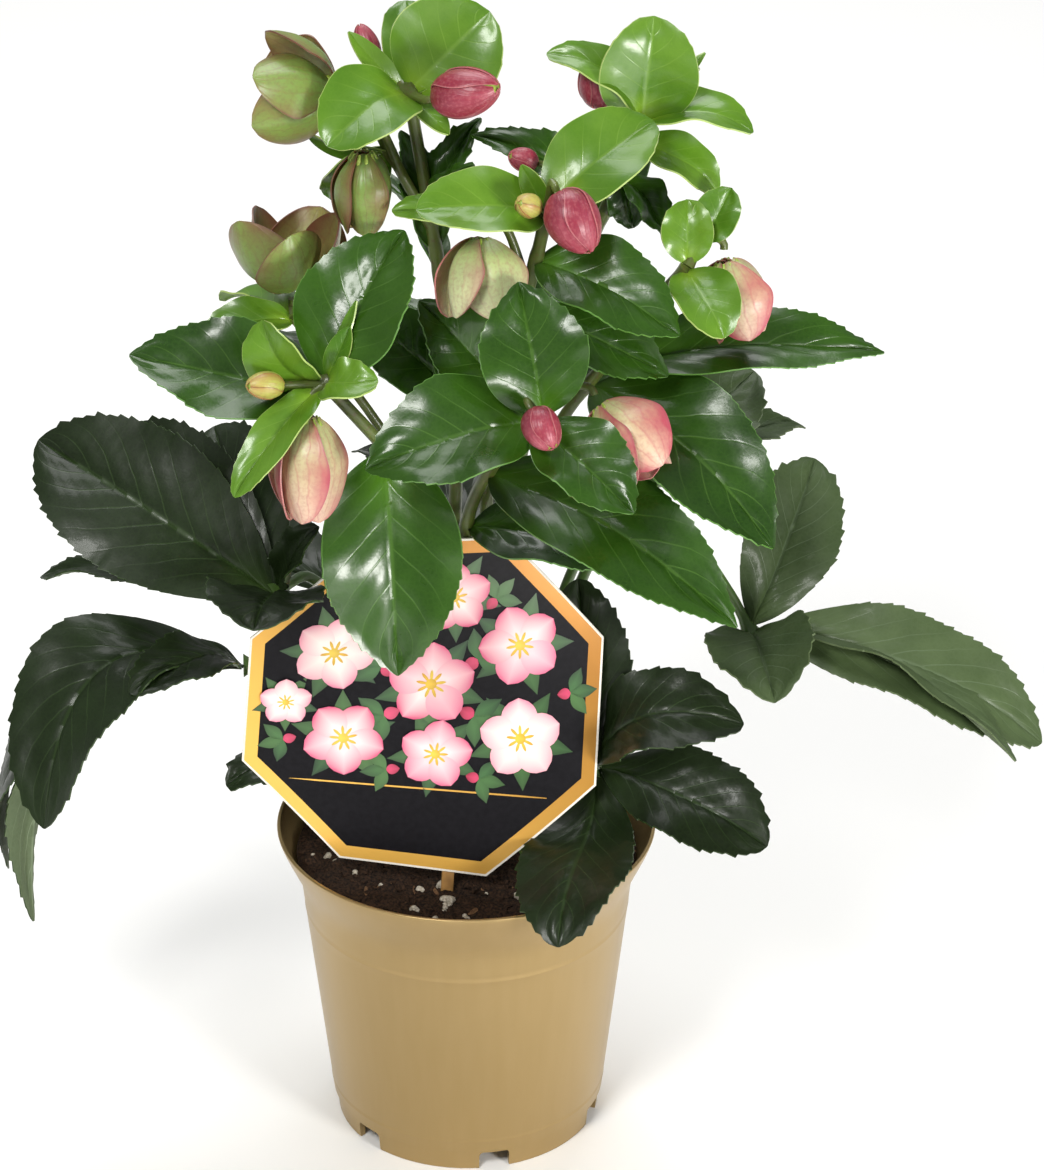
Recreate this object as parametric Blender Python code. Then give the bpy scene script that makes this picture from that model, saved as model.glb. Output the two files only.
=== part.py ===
"""A flowering hellebore in its nursery pot, modelled as closed solids.

The pot stands on z = 0 with its centre on the origin. Every length below is in
millimetres and MM turns it into metres. The viewer's side is -Y.

Each flowering stem, basal leaf, flower and bud is one solid. Its blades and
stalks are built by the same two functions, blade() and tube(), and joined by
one union.
"""
from collections import namedtuple
from math import cos, pi, radians, sin

import bmesh
import bpy
from mathutils import Matrix, Vector

MM = 0.001

# Pot: a 13 cm grower's pot, as (radius, height) points up the outside and down the inside.
POT_WALL = 1.2
POT_SIDES = 32
POT_FOOT = ((21.0, 0.0), (24.0, 6.8), (43.1, 6.8), (43.7, 0.0), (45.7, 0.0), (46.4, 7.4), (47.4, 8.0))
POT_COLLAR = ((57.0, 92.0), (58.3, 97.0), (61.0, 103.0), (63.9, 109.5), (65.0, 112.6))
POT_LIP = ((64.5, 113.3), (63.7, 113.2))
POT_INSIDE = ((46.2, 8.0), (24.8, 8.0), (21.6, 1.2))

# Drain notches in the foot ring: their size, the radius they sit at, the first one's bearing.
NOTCH_COUNT, NOTCH_SIZE, NOTCH_R = 6, (9.0, 10.5, 8.6), 45.1
NOTCH_CENTRE_Z, NOTCH_FIRST_DEG = 2.3, -78.0
DRAIN_R, DRAIN_RING_R, DRAIN_LOW, DRAIN_HIGH = 3.6, 33.0, 3.8, 11.0

# Clearance between pieces that touch, and the smallest body a union keeps, in mm3.
GAP = 0.3
SCRAP_VOLUME = 20.0

# Soil: it fills the pot and crowns a little at the middle.
SOIL_TOP_R, SOIL_EDGE_Z, SOIL_CROWN, SOIL_EDGE_DROP = 58.5, 103.5, 2.6, 1.8
SOIL_SIDES = 24
SOIL_RINGS = (0.22, 0.48, 0.74)
SOIL_BELOW = ((55.5, 92.0), (45.9, 8.3), (25.4, 8.3), (21.9, 1.5))
FOOT_Z, COLLAR_Z, HOLE_TOP_Z = 88.0, 110.0, 118.0
HOLE_SIDES = 6
HOLE_CLEAR = 0.5

# Plant label: a regular octagon on a stake.
LABEL_ACROSS, LABEL_THICK = 118.4, 0.9
LABEL_CENTRE = (-13.7, -24.0, 172.2)
LABEL_ROLL, LABEL_YAW, LABEL_LEAN = 4.6, 4.8, 6.5
LABEL_WARP = 0.0040
LABEL_RINGS = (0.5, 1.0)
STAKE_X, STAKE_W, STAKE_THICK, STAKE_TIP_HALF, STAKE_SINK = 12.0, 4.2, 1.8, 0.6, 0.3
STAKE_TOP, STAKE_LOW, STAKE_TAPER, SLOT_RISE = -40.0, -84.0, 12.0, 30.0

# Blades: thickness, the tip's half width, the two bends of the rib as shares of
# the chord, the ripples along the edge, the teeth's forward lean.
BLADE_THICK = 0.85
ROOT_SHIFT = 1.0
TIP_HALF = 0.35
BENDS = (0.33, 0.67)
RIPPLES, RIPPLE_SHIFT = 2.5, 0.3
TOOTH_LEAN = 1.2
NORMAL_STEP = 0.04

# Flowers: sepals, how far they lap, where they stand on the heart and how they cup.
SEPALS, SEPAL_LAP = 5, 28.0
SEPAL_RISE, SEPAL_OUT = 2.6, 1.9
SEPAL_ARCH, SEPAL_INNER, SEPAL_FLARE = (-0.34, -0.22), 0.86, 0.92
HEART = ((0, 0), (1.6, 0), (3.7, 1.8), (3.7, 3.8), (3.0, 9.0), (0, 10.5))
HEART_SIDES, HEART_LOBES, HEART_RIDGES = 8, 4, 0.10

# Buds: shares of the half width and of the length.
BUD_SHAPE = ((0, 0), (0.24, 0), (0.80, 0.14), (1.0, 0.42), (0.78, 0.74), (0.34, 0.94), (0, 1.0))
BUD_SIDES, BUD_LOBES, BUD_RIDGES, BUD_WIND = 8, 4, 0.05, 0.12

# Stalks.
STEM_SIDES = 6
STALK_SIDES = 5
SEAT_RUN = 3.0
PETIOLE_R, PETIOLE_END_R = 2.1, 1.7

FRONT = (0.0, -0.88, 0.47)

Kind = namedtuple("Kind", "columns stations widest point cup stalk tooth fold wave")
KINDS = {
    "bract": Kind(2, 5, 0.48, 1.20, 0.20, 1.3, 0.7, 8.0, 0.6),
    "bractlet": Kind(2, 4, 0.46, 1.30, 0.15, 1.0, 0.0, 12.0, 0.0),
    "stem_leaf": Kind(2, 7, 0.44, 1.65, 0.12, 1.4, 0.8, 12.0, 1.2),
    "leaflet": Kind(2, 9, 0.55, 1.60, 0.06, 1.3, 1.2, 9.0, 1.4),
    "sepal": Kind(2, 4, 0.52, 1.05, 0.50, 1.2, 0.0, 4.0, 0.0),
}

Leaf = namedtuple("Leaf", "kind root tip width face arch sway fold twist")


def leaf(kind, root, tip, width, face=FRONT, arch=(0.1, 0.1), sway=0.0, fold=None, twist=0.0):
    """One blade, from root to tip, its upper side turned to face."""
    fold = KINDS[kind].fold if fold is None else fold
    root, tip = Vector(root), Vector(tip)
    root = root + (tip - root).normalized() * ROOT_SHIFT
    return Leaf(kind, root, tip, width, Vector(face), arch, sway, fold, twist)


Stalk = namedtuple("Stalk", "start end points flower")


def stalk(start, end, points, flower=None):
    """A round stalk; one that carries a flower or bud runs on to its seat."""
    return Stalk(start, end, points, flower)


# Flowering stems: the foot in the soil, the stem and its side stalks, the blades.
SHOOTS = {
    "shoot_top_left": {
        "foot": (-8, 8),
        "stalks": [
            stalk(2.5, 2.0, [(-7, 6, 160), (-4, 3, 215), (-3, 4, 262), (-8, 5, 318), (-17, 5, 380)]),
            stalk(1.5, 1.3, [(-17, 5, 380)], "bud_top_left"),
            stalk(1.3, 1.1, [(-17, 5, 380), (-23, 13, 384)], "bud_top_left_back"),
            stalk(1.8, 1.5, [(-10, 5, 333), (-19, 3, 352), (-30, 3, 374)], "bloom_top_left"),
            stalk(1.5, 1.3, [(-19, 3, 352), (-26, -4, 372)], "bloom_top_left_hanging"),
        ],
        "blades": [
            leaf("bract", (-17, 6, 380), (9, 9, 406), 38, (-0.15, -0.93, 0.33), (0.06, 0.06)),
            leaf("bract", (-17, 4, 380), (-42, -22, 373), 30, (-0.1, -0.62, 0.78), (0.26, 0.18)),
            leaf("bractlet", (-17, 4, 379), (-4, -10, 372), 9, (0.2, -0.6, 0.7), (0.12, 0.0)),
            leaf("bract", (-17, 7, 380), (-18, 36, 399), 17, (0.0, -0.8, 0.6), (0.1, 0.1)),
            leaf("bractlet", (-18, 6, 380), (-36, 12, 398), 8, (0.3, -0.8, 0.5), (-0.1, -0.1)),
            leaf("bract", (-17, 5, 379), (6, 33, 386), 24, (0.1, 0.1, 0.99), (0.15, 0.2)),
            leaf("stem_leaf", (-9, 6, 324), (-20, 17, 362), 17, (0.5, -0.8, 0.3), (0.1, 0.1)),
            leaf("stem_leaf", (-11, 6, 340), (6, 15, 367), 13, (-0.5, -0.7, 0.5), (0.1, 0.15)),
            leaf("stem_leaf", (-11, 5, 338), (4, -4, 359), 10, (-0.4, -0.5, 0.75), (0.15, 0.1)),
            leaf("bractlet", (-22, 3, 360), (-50, 6, 366), 13, (0.1, -0.7, -0.7), (0.0, 0.1)),
            leaf("bract", (-24, 4, 362), (-43, 15, 339), 19, (0.35, -0.85, 0.4), (0.2, 0.1)),
            leaf("stem_leaf", (-8, 6, 316), (-34, 40, 338), 22, (0.1, 0.5, 0.85), (0.15, 0.2)),
            leaf("stem_leaf", (-6, 5, 304), (12, 1, 266), 26, (0.05, -0.9, 0.4), (0.12, 0.12)),
            leaf("stem_leaf", (-3, 5, 274), (-36, 14, 300), 27, (0.2, -0.85, 0.5), (0.12, 0.10)),
            leaf("stem_leaf", (-3, 5, 262), (-26, 44, 290), 30, (0.1, 0.3, 0.95), (0.15, 0.25)),
        ],
    },
    "shoot_top_right": {
        "foot": (8, 9),
        "stalks": [
            stalk(2.4, 1.9, [(9, 8, 160), (13, 9, 215), (22, 11, 262), (36, 11, 310),
                             (49, 10, 345), (57, 10, 367)]),
            stalk(1.4, 1.2, [(57, 10, 367), (50, 13, 367)], "bud_top_right"),
        ],
        "blades": [
            leaf("bract", (57, 11, 367), (61, 13, 403), 32, (0.1, -0.93, 0.3), (0.10, 0.12)),
            leaf("bract", (57, 12, 368), (27, 13, 390), 15, (-0.3, -0.2, 0.93), (0.30, 0.30), twist=-20),
            leaf("bract", (57, 11, 367), (93, 6, 366), 18, (0.1, -0.3, 0.93), (0.26, 0.26)),
            leaf("bractlet", (58, 12, 369), (78, 24, 386), 6, (0.3, -0.9, 0.3), (-0.1, -0.1)),
            leaf("bract", (55, 10, 361), (82, 6, 345), 17, (0.3, -0.55, 0.78), (0.22, 0.22)),
            leaf("stem_leaf", (51, 10, 350), (65, 2, 332), 15, (0.55, -0.6, 0.55), (0.20, 0.16)),
            leaf("stem_leaf", (51, 11, 350), (55, 10, 331), 14, (0.1, -0.9, 0.3), (0.12, 0.10)),
            leaf("stem_leaf", (47, 10, 341), (3, 6, 365), 17, (-0.1, -0.5, 0.86), (0.16, 0.16)),
            leaf("bract", (57, 12, 367), (72, 42, 372), 24, (0.0, 0.2, 0.97), (0.14, 0.22)),
            leaf("stem_leaf", (45, 11, 335), (58, 48, 338), 24, (0.0, 0.2, 0.97), (0.16, 0.25)),
            leaf("stem_leaf", (31, 12, 290), (46, 52, 300), 30, (0.0, 0.1, 1.0), (0.16, 0.25)),
        ],
    },
    "shoot_centre": {
        "foot": (1, -3),
        "stalks": [
            stalk(2.6, 2.1, [(3, -3, 160), (7, -2, 215), (8, -6, 262), (16, -14, 300),
                             (23, -18, 330), (27, -20, 350)]),
            stalk(1.5, 1.3, [(27, -20, 350)], "bud_centre"),
            stalk(1.2, 1.0, [(27, -20, 350)], "bud_centre_green"),
            stalk(1.2, 1.0, [(27, -20, 350), (28, -9, 357)], "bud_centre_back"),
            stalk(1.6, 1.3, [(21, -17, 322), (15, -15, 340), (10, -17, 348)], "bloom_centre"),
        ],
        "blades": [
            leaf("bract", (26.6, -19.4, 348.4), (-14, -37, 358), 24, (0.0, -0.62, 0.78), (0.14, 0.12)),
            leaf("bract", (27, -19, 351), (61, -2, 373), 29, (-0.45, -0.75, 0.48), (0.10, 0.12)),
            leaf("bractlet", (27, -20, 350), (19, -20, 366), 8, (-0.2, -0.8, 0.5), (0.1, 0.1)),
            leaf("bract", (12, -16, 345), (-22, -22, 351), 12, (0.1, -0.5, 0.85), (0.20, 0.08)),
            leaf("stem_leaf", (23, -18, 332), (69, -40, 316), 31, (0.15, -0.55, 0.82), (0.18, 0.10)),
            leaf("stem_leaf", (19, -16, 313), (66, -24, 294), 26, (0.1, -0.65, 0.75), (0.16, 0.08)),
            leaf("stem_leaf", (12, -11, 284), (-14, -14, 316), 26, (0.2, -0.8, 0.5), (0.1, 0.1)),
            leaf("bract", (26, -19.5, 346), (14, 14, 342), 22, (0.1, 0.2, 0.97), (0.15, 0.2)),
        ],
    },
    "shoot_right": {
        "foot": (13, -2),
        "stalks": [
            stalk(2.3, 1.8, [(15, -1, 160), (18, 0, 215), (28, 0, 258), (49, -4, 293),
                             (64, -9, 316), (72, -14, 328)]),
            stalk(1.5, 1.3, [(72, -14, 328), (78, -8, 335)], "bloom_right"),
        ],
        "blades": [
            leaf("bract", (72, -14, 328), (72, -4, 347), 17, (0.0, -0.95, 0.3), (0.08, 0.10)),
            leaf("bract", (77, -9, 334), (86, -4, 351), 15, (-0.2, -0.9, 0.4), (0.06, -0.06)),
            leaf("bract", (71, -14, 327), (83, -38, 314), 22, (0.15, -0.65, 0.74), (0.12, 0.14)),
            leaf("stem_leaf", (46, -4, 288), (138, 10, 286), 28, (0.05, -0.42, 0.9), (0.10, 0.12)),
            leaf("stem_leaf", (42, -3, 281), (100, -48, 244), 44, (0.25, -0.60, 0.75), (0.14, 0.18)),
            leaf("stem_leaf", (40, -2, 278), (72, 34, 276), 30, (0.1, 0.1, 0.98), (0.14, 0.2)),
        ],
    },
    "shoot_front": {
        "foot": (4, -13),
        "stalks": [
            stalk(2.5, 2.0, [(3, -12, 160), (1, -9, 212), (1, -10, 234), (8, -22, 258),
                             (18, -42, 280), (26, -58, 295)]),
            stalk(1.3, 1.2, [(26, -58, 295)], "bud_front"),
            stalk(1.5, 1.3, [(20, -46, 285), (32, -42, 298)], "bloom_front"),
        ],
        "blades": [
            leaf("stem_leaf", (26, -57, 295), (18, -41, 335), 35, (0.1, -0.92, 0.38), (0.10, 0.04)),
            leaf("stem_leaf", (24, -57, 293), (54, -85, 276), 29, (0.10, -0.55, 0.83), (0.08, 0.02)),
            leaf("stem_leaf", (24, -54, 292), (-30, -71, 284), 38, (-0.05, -0.6, 0.8), (0.20, 0.12)),
            leaf("stem_leaf", (1, -10, 232), (58, -30, 227), 31, (0.0, -0.45, 0.9), (0.12, 0.14)),
            leaf("stem_leaf", (8, -22, 258), (88, -66, 225), 39, (0.15, -0.62, 0.76), (0.19, 0.20)),
        ],
    },
    "shoot_left": {
        "foot": (-10, -5),
        "stalks": [
            stalk(2.5, 2.0, [(-9, -6, 160), (-8, -8, 215), (-13, -20, 250), (-23, -34, 271), (-43, -48, 303)]),
            stalk(1.7, 1.4, [(-13, -20, 250), (-32, -20, 282), (-46, -17, 300), (-54, -14, 310)]),
            stalk(1.3, 1.1, [(-43, -48, 303)], "bud_left"),
            stalk(1.4, 1.2, [(-43, -48, 303)], "bloom_left"),
            stalk(1.4, 1.3, [(-54, -14, 310)], "bloom_left_high"),
        ],
        "blades": [
            leaf("stem_leaf", (-43, -47, 303), (-18, -24, 345), 38, (-0.3, -0.75, 0.6), (0.14, 0.10)),
            leaf("bract", (-45, -48, 303), (-62, -50, 326), 22, (-0.55, -0.75, 0.3), (0.22, 0.26), 0.1),
            leaf("stem_leaf", (-43, -47, 302), (-105, -44, 311), 36, (0.0, -0.6, 0.8), (-0.12, -0.02)),
            leaf("bract", (-43, -48, 303), (-26, -58, 309), 16, (0.3, -0.6, 0.75), (0.3, 0.2), -0.2),
            leaf("bractlet", (-42, -47, 304), (-35, -46, 322), 8, (-0.4, -0.9, 0.1), (0.1, 0.0)),
            leaf("bractlet", (-41, -46, 302), (-33, -42, 329), 5, (-0.6, -0.7, 0.1), (0.1, 0.0)),
            leaf("bract", (-44, -49, 303), (-71, -76, 277), 14, (-0.3, -0.75, 0.6), (0.14, 0.12)),
            leaf("bract", (-54, -14, 309), (-83, -20, 307), 16, (0.0, -0.4, 0.9), (0.15, 0.15)),
            leaf("stem_leaf", (-25, -35, 274), (-21, -62, 205), 46, (0.05, -0.93, 0.35), (0.16, 0.06)),
            leaf("bract", (-53, -14, 308), (-78, 12, 304), 20, (0.0, 0.2, 0.97), (0.15, 0.2)),
            leaf("stem_leaf", (-40, -18, 292), (-58, 20, 284), 26, (0.0, 0.2, 0.97), (0.15, 0.25)),
        ],
    },
}

# Basal leaves: the foot, the petiole's other points, the leaflets.
BASAL = {
    "leaf_left_high": {
        "foot": (-21, 2),
        "petiole": [(-24, -1, 150), (-38, -8, 195), (-50, -18, 217), (-57, -29, 221), (-61, -36, 220)],
        "leaflets": [
            leaf("leaflet", (-61, -36, 220), (-140, 0, 259), 50, (-0.1, -0.75, 0.65), (0.14, 0.10)),
            leaf("leaflet", (-61, -36, 220), (-110, 14, 257), 36, (-0.2, -0.7, 0.68), (0.12, 0.10)),
            leaf("leaflet", (-61, -35, 220), (-84, 28, 250), 36, (-0.3, -0.5, 0.8), (0.12, 0.10)),
            leaf("leaflet", (-61, -36, 220), (-144, 20, 197), 17, (0.0, -0.1, 0.99), (0.02, 0.12)),
            leaf("leaflet", (-60, -36, 221), (-46, -50, 253), 15, (-0.8, -0.5, 0.2), (0.05, 0.1), 0.0, 30),
            leaf("leaflet", (-61, -36, 220), (-66, -79, 231), 38, (0.0, -0.2, 0.98), (0.14, 0.14)),
        ],
    },
    "leaf_left_low": {
        "foot": (-20, -12),
        "petiole": [(-26, -12, 140), (-46, -12, 172), (-62, -13, 181), (-74, -14, 182)],
        "leaflets": [
            leaf("leaflet", (-74, -14, 182), (-137, -70, 152), 46, (-0.35, -0.45, 0.82), (0.46, 0.42), -0.18),
            leaf("leaflet", (-74, -14, 182), (-108, -60, 197), 22, (0.0, -0.4, 0.9), (0.18, 0.20)),
            leaf("leaflet", (-74, -14, 182), (-148, -22, 86), 32, (-0.80, 0.40, 0.42), (0.40, 0.34)),
            leaf("leaflet", (-74, -14, 182), (-158, -2, 95), 26, (-0.75, -0.25, 0.60), (0.44, 0.36)),
        ],
    },
    "leaf_left_small": {
        "foot": (-24, 13),
        "petiole": [(-28, 12, 122), (-36, 8, 136), (-48, 2, 140)],
        "leaflets": [
            leaf("leaflet", (-48, 2, 140), (-81, -14, 135), 18, (-0.1, -0.4, 0.9), (0.10, 0.15)),
            leaf("leaflet", (-48, 2, 140), (-72, 34, 148), 18, (-0.1, 0.2, 0.97), (0.12, 0.18)),
            leaf("leaflet", (-48, 2, 140), (-40, 44, 148), 18, (0.0, 0.2, 0.97), (0.12, 0.18)),
        ],
    },
    "leaf_right_low": {
        "foot": (19, -8),
        "petiole": [(22, -9, 120), (32, -11, 135), (45, -13, 142)],
        "leaflets": [
            leaf("leaflet", (45, -13, 142), (38, 4, 205), 31, (-0.1, -0.9, 0.4), (0.12, 0.10)),
            leaf("leaflet", (45, -13, 142), (93, -26, 166), 33, (-0.3, -0.45, 0.84), (0.50, 0.52)),
            leaf("leaflet", (45, -13, 142), (101, -42, 128), 35, (0.1, -0.55, 0.83), (0.14, 0.16)),
            leaf("leaflet", (45, -13, 142), (31, -76, 110), 38, (-0.24, -0.45, 0.88), (-0.23, 0.21), 0.0, 0),
        ],
    },
    "leaf_right_far": {
        "foot": (17, 6),
        "petiole": [(23, 7, 150), (41, 10, 206), (55, 7, 227), (73, -3, 226), (88, -13, 209),
                    (95, -17, 196)],
        "leaflets": [
            leaf("leaflet", (95, -17, 196), (191, -40, 167), 36, (0.1, -0.45, 0.88), (0.22, 0.20)),
            leaf("leaflet", (95, -17, 196), (180, -64, 174), 26, (0.1, 0.35, 0.93), (0.16, 0.16)),
            leaf("leaflet", (95, -17, 196), (101, -64, 196), 38, (-0.1, -0.25, 0.96), (0.16, 0.16), 0.0, 24),
            leaf("leaflet", (95, -16, 197), (117, 20, 242), 33, (0.25, -0.8, 0.55), (0.12, 0.10)),
        ],
    },
    "leaf_right_back": {
        "foot": (17, 17),
        "petiole": [(22, 20, 150), (40, 27, 205), (64, 31, 229)],
        "leaflets": [
            leaf("leaflet", (64, 31, 229), (98, 54, 258), 34, (-0.2, -0.7, 0.7), (0.12, 0.12)),
            leaf("leaflet", (64, 31, 229), (116, 66, 231), 17, (0.0, -0.2, 0.97), (0.12, 0.18)),
            leaf("leaflet", (64, 31, 229), (108, 44, 205), 30, (0.2, -0.3, 0.93), (0.18, 0.20)),
            leaf("leaflet", (64, 31, 229), (72, 84, 234), 34, (0.0, 0.2, 0.97), (0.16, 0.20)),
        ],
    },
    "leaf_back": {
        "foot": (3, 21),
        "petiole": [(3, 26, 150), (2, 34, 185), (1, 45, 200)],
        "leaflets": [
            leaf("leaflet", (1, 45, 200), (-6, 110, 188), 36, (0.0, 0.3, 0.95), (0.20, 0.20)),
            leaf("leaflet", (1, 45, 200), (36, 94, 196), 30, (0.1, 0.2, 0.97), (0.18, 0.20)),
            leaf("leaflet", (1, 45, 200), (-38, 82, 214), 28, (-0.1, 0.2, 0.97), (0.18, 0.20)),
        ],
    },
    "leaf_back_left": {
        "foot": (-13, 18),
        "petiole": [(-17, 22, 140), (-30, 34, 168), (-44, 46, 176)],
        "leaflets": [
            leaf("leaflet", (-44, 46, 176), (-92, 92, 168), 36, (-0.2, 0.2, 0.95), (0.20, 0.20)),
            leaf("leaflet", (-44, 46, 176), (-108, 52, 182), 30, (-0.2, 0.0, 0.97), (0.18, 0.20)),
            leaf("leaflet", (-44, 46, 176), (-52, 98, 158), 30, (-0.1, 0.3, 0.95), (0.20, 0.20)),
        ],
    },
}

# Flowers: the stalk's end, the way the flower looks, sepal length and width,
# how far the tips open from the axis in degrees, and the turn of the whorl.
BLOOMS = {
    "bloom_top_left": ((-37, 4, 381), (-0.97, 0.08, 0.05), 30, 26, 38, 31),
    "bloom_top_left_hanging": ((-31, -10, 370), (-0.03, -0.08, -0.99), 28, 16, 12, 54),
    "bloom_centre": ((6, -20, 345), (0.0, -0.35, -0.94), 29, 23, 28, 54),
    "bloom_right": ((84, -5, 330), (0.18, -0.12, -0.97), 28, 22, 22, 54),
    "bloom_front": ((42, -46, 298), (0.56, -0.44, -0.70), 30, 25, 20, 30),
    "bloom_left": ((-48, -53, 298), (-0.04, -0.24, -0.97), 35, 22, 10, 18),
    "bloom_left_high": ((-55, -8, 314), (-0.03, 0.16, 0.98), 31, 26, 42, 12),
}

# Buds: the stalk's end, the tip, and the widest width.
BUDS = {
    "bud_top_left": ((-9, -7, 383), (12, -16, 391), 15),
    "bud_top_left_back": ((-28, 17, 385), (-33, 21, 397), 7),
    "bud_top_right": ((45, 14, 371), (41, 16, 387), 11),
    "bud_centre": ((30, -29, 361), (41, -38, 344), 16),
    "bud_centre_green": ((24, -29, 355), (18, -36, 360), 7),
    "bud_centre_back": ((24, -5, 360), (15, -8, 364), 7),
    "bud_front": ((22, -66, 303), (29, -76, 294), 11),
    "bud_left": ((-56, -55, 306), (-67, -62, 309), 8),
}

GREEN_FLOWERS = ("bloom_top_left", "bloom_top_left_hanging", "bloom_left_high", "bud_left", "bud_centre_green")

# Colours as display values, with roughness and metallic share.
FINISHES = {
    "gold_plastic": ("#BDA373", 0.42, 0.55),
    "peat": ("#2B1D14", 0.95, 0.0),
    "card": ("#C68A2C", 0.35, 0.2),
    "green_stem": ("#3F7A26", 0.45, 0.0),
    "dark_leaf": ("#223E20", 0.40, 0.0),
    "pink_sepal": ("#C98B82", 0.50, 0.0),
    "green_sepal": ("#A9B86A", 0.50, 0.0),
    "rose_bud": ("#B34058", 0.40, 0.0),
    "green_bud": ("#A9AE58", 0.50, 0.0),
}


def linear(channel):
    """Display value of one colour channel to linear light."""
    return channel / 12.92 if channel <= 0.04045 else ((channel + 0.055) / 1.055) ** 2.4


def finish(name):
    """The material of one finish, made on first use."""
    if name in bpy.data.materials:
        return bpy.data.materials[name]
    code, roughness, metallic = FINISHES[name]
    colour = [linear(int(code[i:i + 2], 16) / 255) for i in (1, 3, 5)] + [1.0]
    material = bpy.data.materials.new(name)
    material.use_nodes = True
    shader = material.node_tree.nodes["Principled BSDF"]
    shader.inputs["Base Color"].default_value = colour
    shader.inputs["Roughness"].default_value = roughness
    shader.inputs["Metallic"].default_value = metallic
    material.diffuse_color = colour
    return material


def turn_outwards(mesh):
    """Turn a closed mesh's faces outwards."""
    work = bmesh.new()
    work.from_mesh(mesh)
    bmesh.ops.recalc_face_normals(work, faces=work.faces)
    work.to_mesh(mesh)
    work.free()


def triangulated(mesh):
    """Cut the mesh into triangles; whether every edge then has two faces."""
    work = bmesh.new()
    work.from_mesh(mesh)
    bmesh.ops.triangulate(work, faces=work.faces)
    closed = all(edge.is_manifold for edge in work.edges)
    work.to_mesh(mesh)
    work.free()
    return closed


def drop_scraps(mesh):
    """Fill sealed hollows and drop loose scraps: bodies smaller than SCRAP_VOLUME go."""
    work = bmesh.new()
    work.from_mesh(mesh)
    left = set(work.faces)
    while left:
        waiting = [left.pop()]
        body = []
        while waiting:
            face = waiting.pop()
            body.append(face)
            near = {other for side in face.edges for other in side.link_faces} & left
            waiting += near
            left -= near
        if sum(corner_volume(face) for face in body) < SCRAP_VOLUME * MM ** 3:
            bmesh.ops.delete(work, geom=body, context="FACES")
    work.to_mesh(mesh)
    work.free()


def corner_volume(face):
    """Signed volume between a face and the origin."""
    first = face.verts[0].co
    pairs = zip(face.verts[1:], face.verts[2:])
    return sum(first.dot(a.co.cross(b.co)) for a, b in pairs) / 6


def solid(name, points, faces, finish_name=None):
    """An object from points in millimetres and faces that look outwards."""
    mesh = bpy.data.meshes.new(name)
    mesh.from_pydata([tuple(Vector(p) * MM) for p in points], [], faces)
    turn_outwards(mesh)
    piece = bpy.data.objects.new(name, mesh)
    bpy.context.scene.collection.objects.link(piece)
    if finish_name:
        mesh.materials.append(finish(finish_name))
    return piece


def boolean(piece, others, operation):
    """Join or cut piece with all the others at once, then drop the others."""
    group = bpy.data.collections.new("operands")
    for other in others:
        group.objects.link(other)
    modifier = piece.modifiers.new("join", "BOOLEAN")
    modifier.operation = operation
    modifier.operand_type = "COLLECTION"
    modifier.collection = group
    for solver in ("EXACT", "MANIFOLD"):
        modifier.solver = solver
        bpy.context.view_layer.update()
        graph = bpy.context.evaluated_depsgraph_get()
        joined = bpy.data.meshes.new_from_object(piece.evaluated_get(graph))
        if triangulated(joined):
            break
    piece.modifiers.clear()
    drop_scraps(joined)
    piece.data = joined
    for other in others:
        bpy.data.objects.remove(other)
    bpy.data.collections.remove(group)
    return piece


def tube(points, start_r, end_r, sides):
    """A round stalk along the points, closed at both ends."""
    path = [Vector(p) for p in points]
    across = Vector((1, 0, 0))
    verts, faces = [], []
    for i, point in enumerate(path):
        along = (path[min(i + 1, len(path) - 1)] - path[max(i - 1, 0)]).normalized()
        across = (across - along * across.dot(along)).normalized()
        other = along.cross(across)
        radius = start_r + (end_r - start_r) * i / (len(path) - 1)
        for k in range(sides):
            turn = 2 * pi * k / sides
            verts.append(point + (across * cos(turn) + other * sin(turn)) * radius)
    last = (len(path) - 1) * sides
    for i in range(0, last, sides):
        for k in range(sides):
            n = (k + 1) % sides
            faces.append((i + k, i + n, i + sides + n, i + sides + k))
    faces.append(tuple(range(sides))[::-1])
    faces.append(tuple(range(last, last + sides)))
    return verts, faces


def outline(u, kind):
    """Half width of a blade at u along its rib, as a share of the widest."""
    if u <= 0.0 or u >= 1.0:
        return 0.0
    p, k = kind.widest, kind.point
    return (u / p) ** (k * p) * ((1 - u) / (1 - p)) ** (k * (1 - p))


def blade_point(spec, u, v):
    """A point of the blade's middle sheet, u along the rib, v across it."""
    kind = KINDS[spec.kind]
    chord = spec.tip - spec.root
    length = chord.length
    along = chord / length
    normal = (spec.face - along * spec.face.dot(along)).normalized()
    side = normal.cross(along)
    a, b = (spec.root + (along * share + normal * rise + side * spec.sway) * length
            for share, rise in zip(BENDS, spec.arch))
    w = 1.0 - u
    rib = spec.root * w ** 3 + a * (3 * w * w * u) + b * (3 * w * u * u) + spec.tip * u ** 3
    slope = ((a - spec.root) * (w * w) + (b - a) * (2 * w * u) + (spec.tip - b) * (u * u)).normalized()
    turned = Matrix.Rotation(radians(spec.twist) * u, 3, along) @ side
    across = (turned - slope * turned.dot(slope)).normalized()
    up = slope.cross(across)
    shape = outline(u, kind)
    half = max(0.5 * spec.width * shape, kind.stalk * (1 - u) + TIP_HALF * u)
    lift = half * abs(v) * sin(radians(spec.fold)) + kind.cup * half * v * v * shape
    ripple = kind.wave * shape * v * v * sin(2 * pi * (RIPPLES * u + RIPPLE_SHIFT * (v > 0)))
    return rib + across * (half * v * cos(radians(spec.fold))) + up * (lift + ripple), slope


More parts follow.
